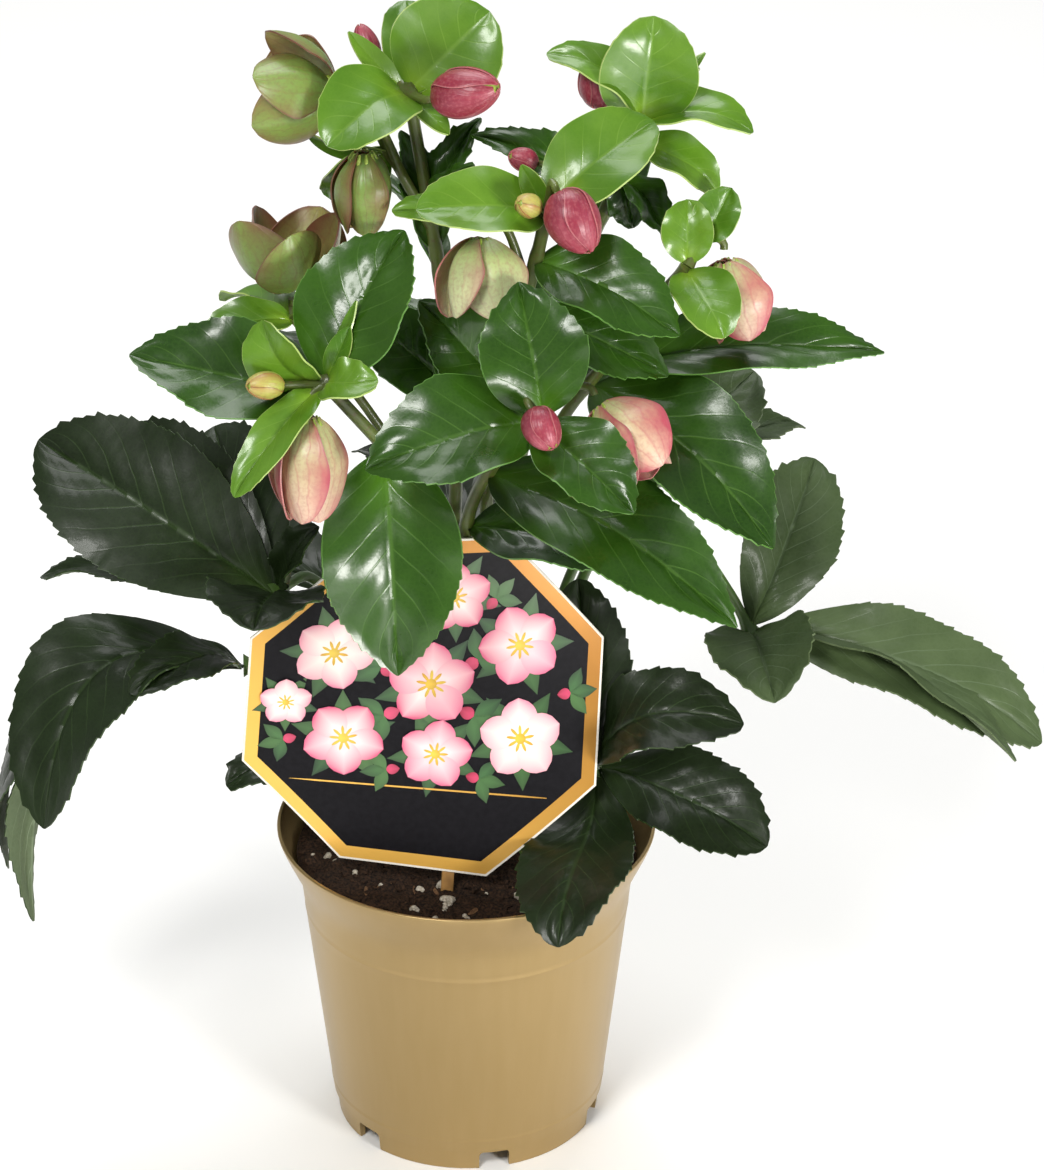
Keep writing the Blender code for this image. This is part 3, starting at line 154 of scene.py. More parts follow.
# Flowering stems: the foot in the soil, the stem and its side stalks, the blades.
SHOOTS = {
    "shoot_top_left": {
        "foot": (-8, 8),
        "stalks": [
            Stalk(2.5, 2.0, [(-7, 6, 160), (-4, 3, 215), (-3, 4, 262), (-8, 5, 318), (-17, 5, 380)]),
            Stalk(1.5, 1.3, [(-17, 5, 380)], "bud_top_left"),
            Stalk(1.3, 1.1, [(-17, 5, 380), (-23, 13, 384)], "bud_top_left_back"),
            Stalk(1.8, 1.5, [(-10, 5, 333), (-19, 3, 352), (-30, 3, 374)], "bloom_top_left"),
            Stalk(1.5, 1.3, [(-19, 3, 352), (-26, -4, 372)], "bloom_top_left_hanging"),
        ],
        "blades": [
            bract((-17, 6, 380), (9, 9, 406), 38, (-0.15, -0.93, 0.33), (0.06, 0.06)),
            bract((-17, 4, 380), (-42, -22, 373), 30, (-0.1, -0.62, 0.78), (0.26, 0.18)),
            bractlet((-17, 4, 379), (-4, -10, 372), 9, (0.2, -0.6, 0.7), (0.12, 0.0)),
            bract((-17, 7, 380), (-18, 36, 399), 17, (0.0, -0.8, 0.6), (0.1, 0.1)),
            bractlet((-18, 6, 380), (-36, 12, 398), 8, (0.3, -0.8, 0.5), (-0.1, -0.1)),
            bract((-17, 5, 379), (6, 33, 386), 24, (0.1, 0.1, 0.99), (0.15, 0.2)),
            stem_leaf((-9, 6, 324), (-20, 17, 362), 17, (0.5, -0.8, 0.3), (0.1, 0.1)),
            stem_leaf((-11, 6, 340), (6, 15, 367), 13, (-0.5, -0.7, 0.5), (0.1, 0.15)),
            stem_leaf((-11, 5, 338), (4, -4, 359), 10, (-0.4, -0.5, 0.75), (0.15, 0.1)),
            bractlet((-22, 3, 360), (-50, 6, 366), 13, (0.1, -0.7, -0.7), (0.0, 0.1)),
            bract((-24, 4, 362), (-43, 15, 339), 19, (0.35, -0.85, 0.4), (0.2, 0.1)),
            stem_leaf((-8, 6, 316), (-34, 40, 338), 22, (0.1, 0.5, 0.85), (0.15, 0.2)),
            stem_leaf((-6, 5, 304), (12, 1, 266), 26, (0.05, -0.9, 0.4), (0.12, 0.12)),
            stem_leaf((-3, 5, 274), (-36, 14, 300), 27, (0.2, -0.85, 0.5), (0.12, 0.10)),
            stem_leaf((-3, 5, 262), (-26, 44, 290), 30, (0.1, 0.3, 0.95), (0.15, 0.25)),
        ],
    },
    "shoot_top_right": {
        "foot": (8, 9),
        "stalks": [
            Stalk(2.4, 1.9, [(9, 8, 160), (13, 9, 215), (22, 11, 262), (36, 11, 310),
                             (49, 10, 345), (57, 10, 367)]),
            Stalk(1.4, 1.2, [(57, 10, 367), (50, 13, 367)], "bud_top_right"),
        ],
        "blades": [
            bract((57, 11, 367), (61, 13, 403), 32, (0.1, -0.93, 0.3), (0.10, 0.12)),
            bract((57, 12, 368), (27, 13, 390), 15, (-0.3, -0.2, 0.93), (0.30, 0.30), twist=-20),
            bract((57, 11, 367), (93, 6, 366), 18, (0.1, -0.3, 0.93), (0.26, 0.26)),
            bractlet((58, 12, 369), (78, 24, 386), 6, (0.3, -0.9, 0.3), (-0.1, -0.1)),
            bract((55, 10, 361), (82, 6, 345), 17, (0.3, -0.55, 0.78), (0.22, 0.22)),
            stem_leaf((51, 10, 350), (65, 2, 332), 15, (0.55, -0.6, 0.55), (0.20, 0.16)),
            stem_leaf((51, 11, 350), (55, 10, 331), 14, (0.1, -0.9, 0.3), (0.12, 0.10)),
            stem_leaf((47, 10, 341), (3, 6, 365), 17, (-0.1, -0.5, 0.86), (0.16, 0.16)),
            bract((57, 12, 367), (72, 42, 372), 24, (0.0, 0.2, 0.97), (0.14, 0.22)),
            stem_leaf((45, 11, 335), (58, 48, 338), 24, (0.0, 0.2, 0.97), (0.16, 0.25)),
            stem_leaf((31, 12, 290), (46, 52, 300), 30, (0.0, 0.1, 1.0), (0.16, 0.25)),
        ],
    },
    "shoot_centre": {
        "foot": (1, -3),
        "stalks": [
            Stalk(2.6, 2.1, [(3, -3, 160), (7, -2, 215), (8, -6, 262), (16, -14, 300),
                             (23, -18, 330), (27, -20, 350)]),
            Stalk(1.5, 1.3, [(27, -20, 350)], "bud_centre"),
            Stalk(1.2, 1.0, [(27, -20, 350)], "bud_centre_green"),
            Stalk(1.2, 1.0, [(27, -20, 350), (28, -9, 357)], "bud_centre_back"),
            Stalk(1.6, 1.3, [(21, -17, 322), (15, -15, 340), (10, -17, 348)], "bloom_centre"),
        ],
        "blades": [
            bract((26.6, -19.4, 348.4), (-14, -37, 358), 24, (0.0, -0.62, 0.78), (0.14, 0.12)),
            bract((27, -19, 351), (61, -2, 373), 29, (-0.45, -0.75, 0.48), (0.10, 0.12)),
            bractlet((27, -20, 350), (19, -20, 366), 8, (-0.2, -0.8, 0.5), (0.1, 0.1)),
            bract((12, -16, 345), (-22, -22, 351), 12, (0.1, -0.5, 0.85), (0.20, 0.08)),
            stem_leaf((23, -18, 332), (69, -40, 316), 31, (0.15, -0.55, 0.82), (0.18, 0.10)),
            stem_leaf((19, -16, 313), (66, -24, 294), 26, (0.1, -0.65, 0.75), (0.16, 0.08)),
            stem_leaf((12, -11, 284), (-14, -14, 316), 26, (0.2, -0.8, 0.5), (0.1, 0.1)),
            bract((26, -19.5, 346), (14, 14, 342), 22, (0.1, 0.2, 0.97), (0.15, 0.2)),
        ],
    },
    "shoot_right": {
        "foot": (13, -2),
        "stalks": [
            Stalk(2.3, 1.8, [(15, -1, 160), (18, 0, 215), (28, 0, 258), (49, -4, 293),
                             (64, -9, 316), (72, -14, 328)]),
            Stalk(1.5, 1.3, [(72, -14, 328), (78, -8, 335)], "bloom_right"),
        ],
        "blades": [
            bract((72, -14, 328), (72, -4, 347), 17, (0.0, -0.95, 0.3), (0.08, 0.10)),
            bract((77, -9, 334), (86, -4, 351), 15, (-0.2, -0.9, 0.4), (0.06, -0.06)),
            bract((71, -14, 327), (83, -38, 314), 22, (0.15, -0.65, 0.74), (0.12, 0.14)),
            stem_leaf((46, -4, 288), (138, 10, 286), 28, (0.05, -0.42, 0.9), (0.10, 0.12)),
            stem_leaf((42, -3, 281), (100, -48, 244), 44, (0.25, -0.60, 0.75), (0.14, 0.18)),
            stem_leaf((40, -2, 278), (72, 34, 276), 30, (0.1, 0.1, 0.98), (0.14, 0.2)),
        ],
    },
    "shoot_front": {
        "foot": (4, -13),
        "stalks": [
            Stalk(2.5, 2.0, [(3, -12, 160), (1, -9, 212), (1, -10, 234), (8, -22, 258),
                             (18, -42, 280), (26, -58, 295)]),
            Stalk(1.3, 1.2, [(26, -58, 295)], "bud_front"),
            Stalk(1.5, 1.3, [(20, -46, 285), (32, -42, 298)], "bloom_front"),
        ],
        "blades": [
            stem_leaf((26, -57, 295), (18, -41, 335), 35, (0.1, -0.92, 0.38), (0.10, 0.04)),
            stem_leaf((24, -57, 293), (54, -85, 276), 29, (0.10, -0.55, 0.83), (0.08, 0.02)),
            stem_leaf((24, -54, 292), (-30, -71, 284), 38, (-0.05, -0.6, 0.8), (0.20, 0.12)),
            stem_leaf((1, -10, 232), (58, -30, 227), 31, (0.0, -0.45, 0.9), (0.12, 0.14)),
            stem_leaf((8, -22, 258), (88, -66, 225), 39, (0.15, -0.62, 0.76), (0.19, 0.20)),
        ],
    },
    "shoot_left": {
        "foot": (-10, -5),
        "stalks": [
            Stalk(2.5, 2.0, [(-9, -6, 160), (-8, -8, 215), (-13, -20, 250), (-23, -34, 271),
                             (-43, -48, 303)]),
            Stalk(1.7, 1.4, [(-13, -20, 250), (-32, -20, 282), (-46, -17, 300), (-54, -14, 310)]),
            Stalk(1.3, 1.1, [(-43, -48, 303)], "bud_left"),
            Stalk(1.4, 1.2, [(-43, -48, 303)], "bloom_left"),
            Stalk(1.4, 1.3, [(-54, -14, 310)], "bloom_left_high"),
        ],
        "blades": [
            stem_leaf((-43, -47, 303), (-18, -24, 345), 38, (-0.3, -0.75, 0.6), (0.14, 0.10)),
            bract((-45, -48, 303), (-62, -50, 326), 22, (-0.55, -0.75, 0.3), (0.22, 0.26), 0.1),
            stem_leaf((-43, -47, 302), (-105, -44, 311), 36, (0.0, -0.6, 0.8), (-0.12, -0.02)),
            bract((-43, -48, 303), (-26, -58, 309), 16, (0.3, -0.6, 0.75), (0.3, 0.2), -0.2),
            bractlet((-42, -47, 304), (-35, -46, 322), 8, (-0.4, -0.9, 0.1), (0.1, 0.0)),
            bractlet((-41, -46, 302), (-33, -42, 329), 5, (-0.6, -0.7, 0.1), (0.1, 0.0)),
            bract((-44, -49, 303), (-71, -76, 277), 14, (-0.3, -0.75, 0.6), (0.14, 0.12)),
            bract((-54, -14, 309), (-83, -20, 307), 16, (0.0, -0.4, 0.9), (0.15, 0.15)),
            stem_leaf((-25, -35, 274), (-21, -62, 205), 46, (0.05, -0.93, 0.35), (0.16, 0.06)),
            bract((-53, -14, 308), (-78, 12, 304), 20, (0.0, 0.2, 0.97), (0.15, 0.2)),
            stem_leaf((-40, -18, 292), (-58, 20, 284), 26, (0.0, 0.2, 0.97), (0.15, 0.25)),
        ],
    },
}

# Basal leaves: the foot, the petiole's other points, the leaflets.
BASAL = {
    "leaf_left_high": {
        "foot": (-21, 2),
        "petiole": [(-24, -1, 150), (-38, -8, 195), (-50, -18, 217), (-57, -29, 221), (-61, -36, 220)],
        "leaflets": [
            leaflet((-61, -36, 220), (-140, 0, 259), 50, (-0.1, -0.75, 0.65), (0.14, 0.10)),
            leaflet((-61, -36, 220), (-110, 14, 257), 36, (-0.2, -0.7, 0.68), (0.12, 0.10)),
            leaflet((-61, -35, 220), (-84, 28, 250), 36, (-0.3, -0.5, 0.8), (0.12, 0.10)),
            leaflet((-61, -36, 220), (-144, 20, 197), 17, (0.0, -0.1, 0.99), (0.02, 0.12)),
            leaflet((-60, -36, 221), (-46, -50, 253), 15, (-0.8, -0.5, 0.2), (0.05, 0.1), 0.0, 30),
            leaflet((-61, -36, 220), (-66, -79, 231), 38, (0.0, -0.2, 0.98), (0.14, 0.14)),
        ],
    },
    "leaf_left_low": {
        "foot": (-20, -12),
        "petiole": [(-26, -12, 140), (-46, -12, 172), (-62, -13, 181), (-74, -14, 182)],
        "leaflets": [
            leaflet((-74, -14, 182), (-137, -70, 152), 46, (-0.35, -0.45, 0.82), (0.46, 0.42), -0.18),
            leaflet((-74, -14, 182), (-108, -60, 197), 22, (0.0, -0.4, 0.9), (0.18, 0.20)),
            leaflet((-74, -14, 182), (-148, -22, 86), 32, (-0.80, 0.40, 0.42), (0.40, 0.34)),
            leaflet((-74, -14, 182), (-158, -2, 95), 26, (-0.75, -0.25, 0.60), (0.44, 0.36)),
        ],
    },
    "leaf_left_small": {
        "foot": (-24, 13),
        "petiole": [(-28, 12, 122), (-36, 8, 136), (-48, 2, 140)],
        "leaflets": [
            leaflet((-48, 2, 140), (-81, -14, 135), 18, (-0.1, -0.4, 0.9), (0.10, 0.15)),
            leaflet((-48, 2, 140), (-72, 34, 148), 18, (-0.1, 0.2, 0.97), (0.12, 0.18)),
            leaflet((-48, 2, 140), (-40, 44, 148), 18, (0.0, 0.2, 0.97), (0.12, 0.18)),
        ],
    },
    "leaf_right_low": {
        "foot": (19, -8),
        "petiole": [(22, -9, 120), (32, -11, 135), (45, -13, 142)],
        "leaflets": [
            leaflet((45, -13, 142), (38, 4, 205), 31, (-0.1, -0.9, 0.4), (0.12, 0.10)),
            leaflet((45, -13, 142), (93, -26, 166), 33, (-0.3, -0.45, 0.84), (0.50, 0.52)),
            leaflet((45, -13, 142), (101, -42, 128), 35, (0.1, -0.55, 0.83), (0.14, 0.16)),
            leaflet((45, -13, 142), (31, -76, 110), 38, (-0.24, -0.45, 0.88), (-0.23, 0.21), 0.0, 0),
        ],
    },
    "leaf_right_far": {
        "foot": (17, 6),
        "petiole": [(23, 7, 150), (41, 10, 206), (55, 7, 227), (73, -3, 226), (88, -13, 209),
                    (95, -17, 196)],
        "leaflets": [
            leaflet((95, -17, 196), (191, -40, 167), 36, (0.1, -0.45, 0.88), (0.22, 0.20)),
            leaflet((95, -17, 196), (180, -64, 174), 26, (0.1, 0.35, 0.93), (0.16, 0.16)),
            leaflet((95, -17, 196), (101, -64, 196), 38, (-0.1, -0.25, 0.96), (0.16, 0.16), 0.0, 24),
            leaflet((95, -16, 197), (117, 20, 242), 33, (0.25, -0.8, 0.55), (0.12, 0.10)),
        ],
    },
    "leaf_right_back": {
        "foot": (17, 17),
        "petiole": [(22, 20, 150), (40, 27, 205), (64, 31, 229)],
        "leaflets": [
            leaflet((64, 31, 229), (98, 54, 258), 34, (-0.2, -0.7, 0.7), (0.12, 0.12)),
            leaflet((64, 31, 229), (116, 66, 231), 17, (0.0, -0.2, 0.97), (0.12, 0.18)),
            leaflet((64, 31, 229), (108, 44, 205), 30, (0.2, -0.3, 0.93), (0.18, 0.20)),
            leaflet((64, 31, 229), (72, 84, 234), 34, (0.0, 0.2, 0.97), (0.16, 0.20)),
        ],
    },
    "leaf_back": {
        "foot": (3, 21),
        "petiole": [(3, 26, 150), (2, 34, 185), (1, 45, 200)],
        "leaflets": [
            leaflet((1, 45, 200), (-6, 110, 188), 36, (0.0, 0.3, 0.95), (0.20, 0.20)),
            leaflet((1, 45, 200), (36, 94, 196), 30, (0.1, 0.2, 0.97), (0.18, 0.20)),
            leaflet((1, 45, 200), (-38, 82, 214), 28, (-0.1, 0.2, 0.97), (0.18, 0.20)),
        ],
    },
    "leaf_back_left": {
        "foot": (-13, 18),
        "petiole": [(-17, 22, 140), (-30, 34, 168), (-44, 46, 176)],
        "leaflets": [
            leaflet((-44, 46, 176), (-92, 92, 168), 36, (-0.2, 0.2, 0.95), (0.20, 0.20)),
            leaflet((-44, 46, 176), (-108, 52, 182), 30, (-0.2, 0.0, 0.97), (0.18, 0.20)),
            leaflet((-44, 46, 176), (-52, 98, 158), 30, (-0.1, 0.3, 0.95), (0.20, 0.20)),
        ],
    },
}

# Flowers: the stalk's end, the way the flower looks, sepal length and width,
# how far the tips open from the axis in degrees, and the turn of the whorl.
BLOOMS = {
    "bloom_top_left": ((-37, 4, 381), (-0.97, 0.08, 0.05), 30, 26, 38, 31),
    "bloom_top_left_hanging": ((-31, -10, 370), (-0.03, -0.08, -0.99), 28, 16, 12, 54),
    "bloom_centre": ((6, -20, 345), (0.0, -0.35, -0.94), 29, 23, 28, 54),
    "bloom_right": ((84, -5, 330), (0.18, -0.12, -0.97), 28, 22, 22, 54),
    "bloom_front": ((42, -46, 298), (0.56, -0.44, -0.70), 30, 25, 20, 30),
    "bloom_left": ((-48, -53, 298), (-0.04, -0.24, -0.97), 35, 22, 10, 18),
    "bloom_left_high": ((-55, -8, 314), (-0.03, 0.16, 0.98), 31, 26, 42, 12),
}

# Buds: the stalk's end, the tip, and the widest width.
BUDS = {
    "bud_top_left": ((-9, -7, 383), (12, -16, 391), 15),
    "bud_top_left_back": ((-28, 17, 385), (-33, 21, 397), 7),
    "bud_top_right": ((45, 14, 371), (41, 16, 387), 11),
    "bud_centre": ((30, -29, 361), (41, -38, 344), 16),
    "bud_centre_green": ((24, -29, 355), (18, -36, 360), 7),
    "bud_centre_back": ((24, -5, 360), (15, -8, 364), 7),
    "bud_front": ((22, -66, 303), (29, -76, 294), 11),
    "bud_left": ((-56, -55, 306), (-67, -62, 309), 8),
}

# Flowers that are green or cream; the others are pink. Leaves that turn a dull, paler face: that face is
# painted glare.
GREEN_FLOWERS = ("bloom_top_left", "bloom_top_left_hanging", "bloom_left_high", "bud_left",
                 "bud_centre_green")
CREAM_FLOWERS = ("bloom_centre",)
GLARE_PALED_LEAVES = ("leaf_right_far", "leaf_right_back")


# Shapes.


def unit(vectors):
    """Vectors brought to length 1."""
    vectors = np.asarray(vectors, float)
    return vectors / np.linalg.norm(vectors, axis=-1, keepdims=True)


def sheet(columns, rows, shape, skins, spread=1.0):
    """A grid bent into shape(u, v): u runs from root to tip, v across from -1 to 1.

    A spread above 1 draws the columns together near the rib.
    """
    bpy.ops.mesh.primitive_grid_add(x_subdivisions=columns, y_subdivisions=rows, size=2.0)
    piece = bpy.context.object
    mesh = piece.data
    flat = np.empty(3 * len(mesh.vertices))
    mesh.vertices.foreach_get("co", flat)
    u, v = (flat[1::3] + 1) / 2, -flat[0::3]
    v = np.sign(v) * np.abs(v) ** spread
    mesh.vertices.foreach_set("co", (shape(u, v) * MM).ravel())
    if spread != 1.0:
        places = np.empty(2 * len(mesh.loops))
        mesh.uv_layers.active.data.foreach_get("uv", places)
        across = 1 - 2 * places[0::2]
        places[0::2] = (1 - np.sign(across) * np.abs(across) ** spread) / 2
        mesh.uv_layers.active.data.foreach_set("uv", places)
    for skin in skins:
        mesh.materials.append(skin)
    mesh.update()
    return piece


def set_tone(piece, tone):
    """How far this blade leans to its finish's second colour, from 0 to 1."""
    layer = piece.data.attributes.new("tone", "FLOAT", "POINT")
    layer.data.foreach_set("value", np.full(len(piece.data.vertices), tone))


def pick(piece):
    """Select one piece alone and make it active."""
    bpy.ops.object.select_all(action="DESELECT")
    piece.select_set(True)
    bpy.context.view_layer.objects.active = piece


def weld(piece):
    """Close the seam and the ends of a rolled grid and turn its faces outwards."""
    pick(piece)
    bpy.ops.object.mode_set(mode="EDIT")
    bpy.ops.mesh.select_all(action="SELECT")
    bpy.ops.mesh.remove_doubles(threshold=WELD_REACH * MM)
    bpy.ops.mesh.normals_make_consistent(inside=False)
    bpy.ops.object.mode_set(mode="OBJECT")


def turn_over(piece):
    """Turn the faces of a sheet to its other side."""
    pick(piece)
    bpy.ops.object.mode_set(mode="EDIT")
    bpy.ops.mesh.select_all(action="SELECT")
    bpy.ops.mesh.flip_normals()
    bpy.ops.object.mode_set(mode="OBJECT")


def join(pieces, name):
    """Several shapes as one object."""
    bpy.ops.object.select_all(action="DESELECT")
    for piece in pieces:
        piece.select_set(True)
    bpy.context.view_layer.objects.active = pieces[0]
    if len(pieces) > 1:
        bpy.ops.object.join()
    piece = bpy.context.object
    piece.name = name
    piece.data.name = name
    return piece


def apply(piece, kind, **settings):
    """Give a piece a modifier and make it part of the mesh."""
    pick(piece)
    modifier = piece.modifiers.new("shape", kind)
    for name, value in settings.items():
        setattr(modifier, name, value)
    bpy.ops.object.modifier_apply(modifier=modifier.name)


def soften(piece, degrees):
    """Shade smooth across edges flatter than the angle."""
    pick(piece)
    bpy.ops.object.shade_smooth_by_angle(angle=radians(degrees), keep_sharp_edges=False)


def outline(u, kind):
    """Half width of a blade at u along its rib, as a share of the widest."""
    p, k = kind.widest, kind.point
    u = np.clip(u, 0.0, 1.0)
    return (u / p) ** (k * p) * ((1 - u) / (1 - p)) ** (k * (1 - p))


def middle_sheet(spec, u, v):
    """Points of the blade's middle sheet and the way that its rib runs there."""
    kind = KINDS[spec.kind]
    chord = spec.tip - spec.root
    length = np.linalg.norm(chord)
    along = chord / length
    normal = unit(spec.face - along * np.dot(spec.face, along))
    side = np.cross(normal, along)
    a, b = (spec.root + (along * share + normal * rise + side * spec.sway) * length
            for share, rise in zip(BENDS, spec.arch))
    t = np.clip(u, 0.0, 1.0)[:, None]
    w = 1.0 - t
    rib = spec.root * w ** 3 + a * (3 * w * w * t) + b * (3 * w * t * t) + spec.tip * t ** 3
    slope = unit((a - spec.root) * (w * w) + (b - a) * (2 * w * t) + (spec.tip - b) * (t * t))
    turn = radians(spec.twist) * t
    turned = side * np.cos(turn) + np.cross(along, side) * np.sin(turn)
    across = unit(turned - slope * (turned * slope).sum(axis=1, keepdims=True))
    up = np.cross(slope, across)
    shape = outline(u, kind)
    half = np.maximum(0.5 * spec.width * shape, kind.stalk * (1 - u) + TIP_HALF * u)
    lift = half * np.abs(v) * sin(radians(spec.fold)) + kind.cup * half * v * v * shape
    ripple = kind.wave * shape * v * v * np.sin(2 * pi * (RIPPLES * u + RIPPLE_SHIFT * (v > 0)))
    flat = half * v * cos(radians(spec.fold))
    return rib + across * flat[:, None] + up * (lift + ripple)[:, None], slope


def fine_sheet(spec, rows, seed):
    """The blade with teeth, sunk veins and a slow unevenness, as a function of u and v."""
    kind = KINDS[spec.kind]

    def shape(u, v):
        point, slope = middle_sheet(spec, u, v)
        step = 0.02
        ahead = middle_sheet(spec, np.minimum(u + step, 1.0), v)[0]
        behind = middle_sheet(spec, np.maximum(u - step, 0.0), v)[0]
        right = middle_sheet(spec, u, np.minimum(v + step, 1.0))[0]
        left = middle_sheet(spec, u, np.maximum(v - step, -1.0))[0]
        normal = unit(np.cross(ahead - behind, right - left))
        outward = unit(right - left) * np.sign(v)[:, None]
        inside = np.clip((1 - np.abs(v)) / MARGIN_SHARE, 0, 1)
        body = np.clip(u / HEEL_SHARE, 0, 1) * np.clip((1 - u) / TIP_SHARE, 0, 1)
        bulge = np.abs(np.sin(pi * kind.veins * (u - VEIN_LEAN * np.abs(v))))
        groove = np.exp(-(v / RIB_SHARE) ** 2)
        rise = kind.relief * (bulge * inside * (1 - groove) - RIB_DEPTH * groove) * body
        slow = np.sin(5.1 * u + 2.3 * v + seed) * np.sin(3.7 * v - 4.3 * u + 2 * seed)
        rise = rise + kind.swell * slow * body
        row = np.rint(u * rows)
        tooth, part = row // TOOTH_ROWS, row % TOOTH_ROWS
        uneven = 0.7 + 0.4 * np.sin(2.4 * tooth + 9 * seed + 3 * (v > 0))
        saw = part / (TOOTH_ROWS - 1) * kind.tooth * uneven
        saw = saw * np.clip((u - kind.bare) / 0.12, 0, 1) * np.clip((1 - u) / 0.04, 0, 1)
        edge = np.clip((np.abs(v) - TOOTH_EDGE) / (1 - TOOTH_EDGE), 0, 1) ** 2
        forward = outward * 0.85 + slope * 0.9
        return point + normal * rise[:, None] + forward * (saw * edge)[:, None]

    return shape


def grow_blade(spec, skins, tone, seed):
    """One leaf, bract or sepal as a single sheet of grid faces."""
    kind = KINDS[spec.kind]
    length = np.linalg.norm(spec.tip - spec.root)
    rows = TOOTH_ROWS * max(6, int(round(length / kind.pitch)))
    blade = sheet(kind.columns, rows, fine_sheet(spec, rows, seed), skins, EDGE_SPREAD)
    set_tone(blade, tone)
    return blade


def curve_through(points, steps):
    """Points along a smooth curve through the given ones."""
    given = [np.array(p, float) for p in points]
    ends = [given[0] * 2 - given[1]] + given + [given[-1] * 2 - given[-2]]
    path = []
    for a, b, c, d in zip(ends, ends[1:], ends[2:], ends[3:]):
        count = max(2, int(steps * np.linalg.norm(c - b) / 10 + 1))
        for t in np.arange(count) / count:
            path.append(0.5 * (b * 2 + (c - a) * t + (a * 2 - b * 5 + c * 4 - d) * t * t
                               + (b * 3 - a - c * 3 + d) * t ** 3))
    return np.array(path + [given[-1]])


def frames_along(path):
    """Two directions across the path at each of its points, without twist."""
    along = unit(np.gradient(path, axis=0))
    first = np.array((1.0, 0.0, 0.0))
    across, other = [], []
    for direction in along:
        first = unit(first - direction * np.dot(first, direction))
        across.append(first)
        other.append(np.cross(direction, first))
    return np.array(across), np.array(other)


def roll(path, radii, columns, skins, ridges=0.0):
    """A grid rolled up round a path and closed at both ends, with five low ridges."""
    across, other = frames_along(path)
    centre = np.vstack([path[:1], path, path[-1:]])
    across = np.vstack([across[:1], across, across[-1:]])
    other = np.vstack([other[:1], other, other[-1:]])
    radius = np.concatenate([[0.0], radii, [0.0]])
    rows = len(centre) - 1

    def shape(u, v):
        row = np.rint(u * rows).astype(int)
        turn = pi * v
        ring = radius[row] * (1 + ridges * np.cos(5 * turn))
        out = across[row] * np.cos(turn)[:, None] + other[row] * np.sin(turn)[:, None]
        return centre[row] + out * ring[:, None]

    piece = sheet(columns, rows, shape, skins)
    weld(piece)
    return piece


def grow_stalk(points, start_r, end_r, skins, columns, knots):
    """A stalk that tapers and swells a little where something grows from it."""
    path = curve_through(points, STALK_STEPS)
    share = np.linspace(0, 1, len(path))
    radii = start_r + (end_r - start_r) * share
    for knot in knots:
        far = np.linalg.norm(path - np.array(knot, float), axis=1)
        radii = radii * (1 + KNOT_SWELL * np.exp(-(far / KNOT_REACH) ** 2))
    return roll(path, radii, columns, skins, ridges=0.05)


def lathe(profile, columns, skins, bumps=None):
    """A closed body turned round Z from (radius, height) points that start and end on it."""
    profile = np.array(profile, float)
    rows = len(profile) - 1

    def shape(u, v):
        row = np.rint(u * rows).astype(int)
        turn = pi * v
        radius, height = profile[row, 0], profile[row, 1]
        spots = np.stack([radius * np.cos(turn), radius * np.sin(turn), height], axis=-1)
        return bumps(spots) if bumps else spots

    piece = sheet(columns, rows, shape, skins)
    weld(piece)
    return piece


def eased(points, steps):
    """A profile with its corners drawn as a smooth curve."""
    given = [(r, 0.0, z) for r, z in points]
    return [(p[0], p[2]) for p in curve_through(given, steps)]


def aim(axis):
    """Rotation that takes +Z to the axis."""
    return np.array(Vector(axis).normalized().to_track_quat("Z", "Y").to_matrix())


def finish_piece(parts, name, node, degrees=60):
    """Join the parts, shade them, and let them stand for the solid."""
    piece = join(parts, name)
    soften(piece, degrees)
    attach(piece, "root")
    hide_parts(node)
    return piece


# The plant.


def flower_seat(name):
    """Where a flower or bud sits on its stalk, and the way it points."""
    if name in BLOOMS:
        seat, axis = BLOOMS[name][:2]
        return np.array(seat, float), unit(axis)
    seat, tip = BUDS[name][:2]
    return np.array(seat, float), unit(np.array(tip, float) - np.array(seat, float))


def grow_leafy(name, foot, stalks, blades, skins_of, rind):
    """A stem or petiole with all its blades, as one object."""
    sheets = []
    for spec in blades:
        # Leaves on the glare list take the upper skin with painted glare.
        kind = "glare_paled_leaflet" if name in GLARE_PALED_LEAVES else spec.kind
        sheets.append(grow_blade(spec, skins_of[kind], RNG.random(), RNG.random() * 6))
    body = join(sheets, name + "_blades")
    apply(body, "SOLIDIFY", thickness=BLADE_THICK * MM, offset=0.0, material_offset=1)
    x, y = foot
    parts = [body]
    knots = [spec.root for spec in blades]
    for i, spec in enumerate(stalks):
        points = list(spec.points)
        if spec.flower:
            seat, axis = flower_seat(spec.flower)
            points = points + [seat - axis * SEAT_RUN, seat]
        first = i == 0
        if first:
            points = [(x, y, FOOT_Z), (x, y, COLLAR_Z)] + points
        columns = 12 if first else 10
        parts.append(grow_stalk(points, spec.start, spec.end, [rind], columns, knots))
    return finish_piece(parts, name + "_grown", name)


def grow_stamen(seat, turn_to, k, filament_skin, anther_skin):
    """One stamen of the spiral: a thin filament that bends outwards, and its anther."""
    turn = STAMEN_TURN * k
    ring = 0.9 + 2.2 * sqrt((k + 0.5) / STAMENS)
    flare = 0.9 + 0.9 * ring + RNG.random() * 0.5
    top = 11.0 + 3.0 * RNG.random() - 0.4 * ring
    out = np.array((cos(turn), sin(turn), 0.0))
    low = out * ring + np.array((0, 0, STAMEN_FOOT))
    high = out * flare * 1.35 + np.array((0, 0, top))
    bend = (low + high) / 2 + out * 0.5
    path = seat + np.array([low, bend, high]) @ turn_to.T
    way = unit(path[2] - path[1])
    pod = path[2] + np.outer(np.array(ANTHER_STEPS), way)
    return [roll(path, np.array(FILAMENT_RADII), 5, [filament_skin]),
            roll(pod, np.array(ANTHER_RADII), 6, [anther_skin])]


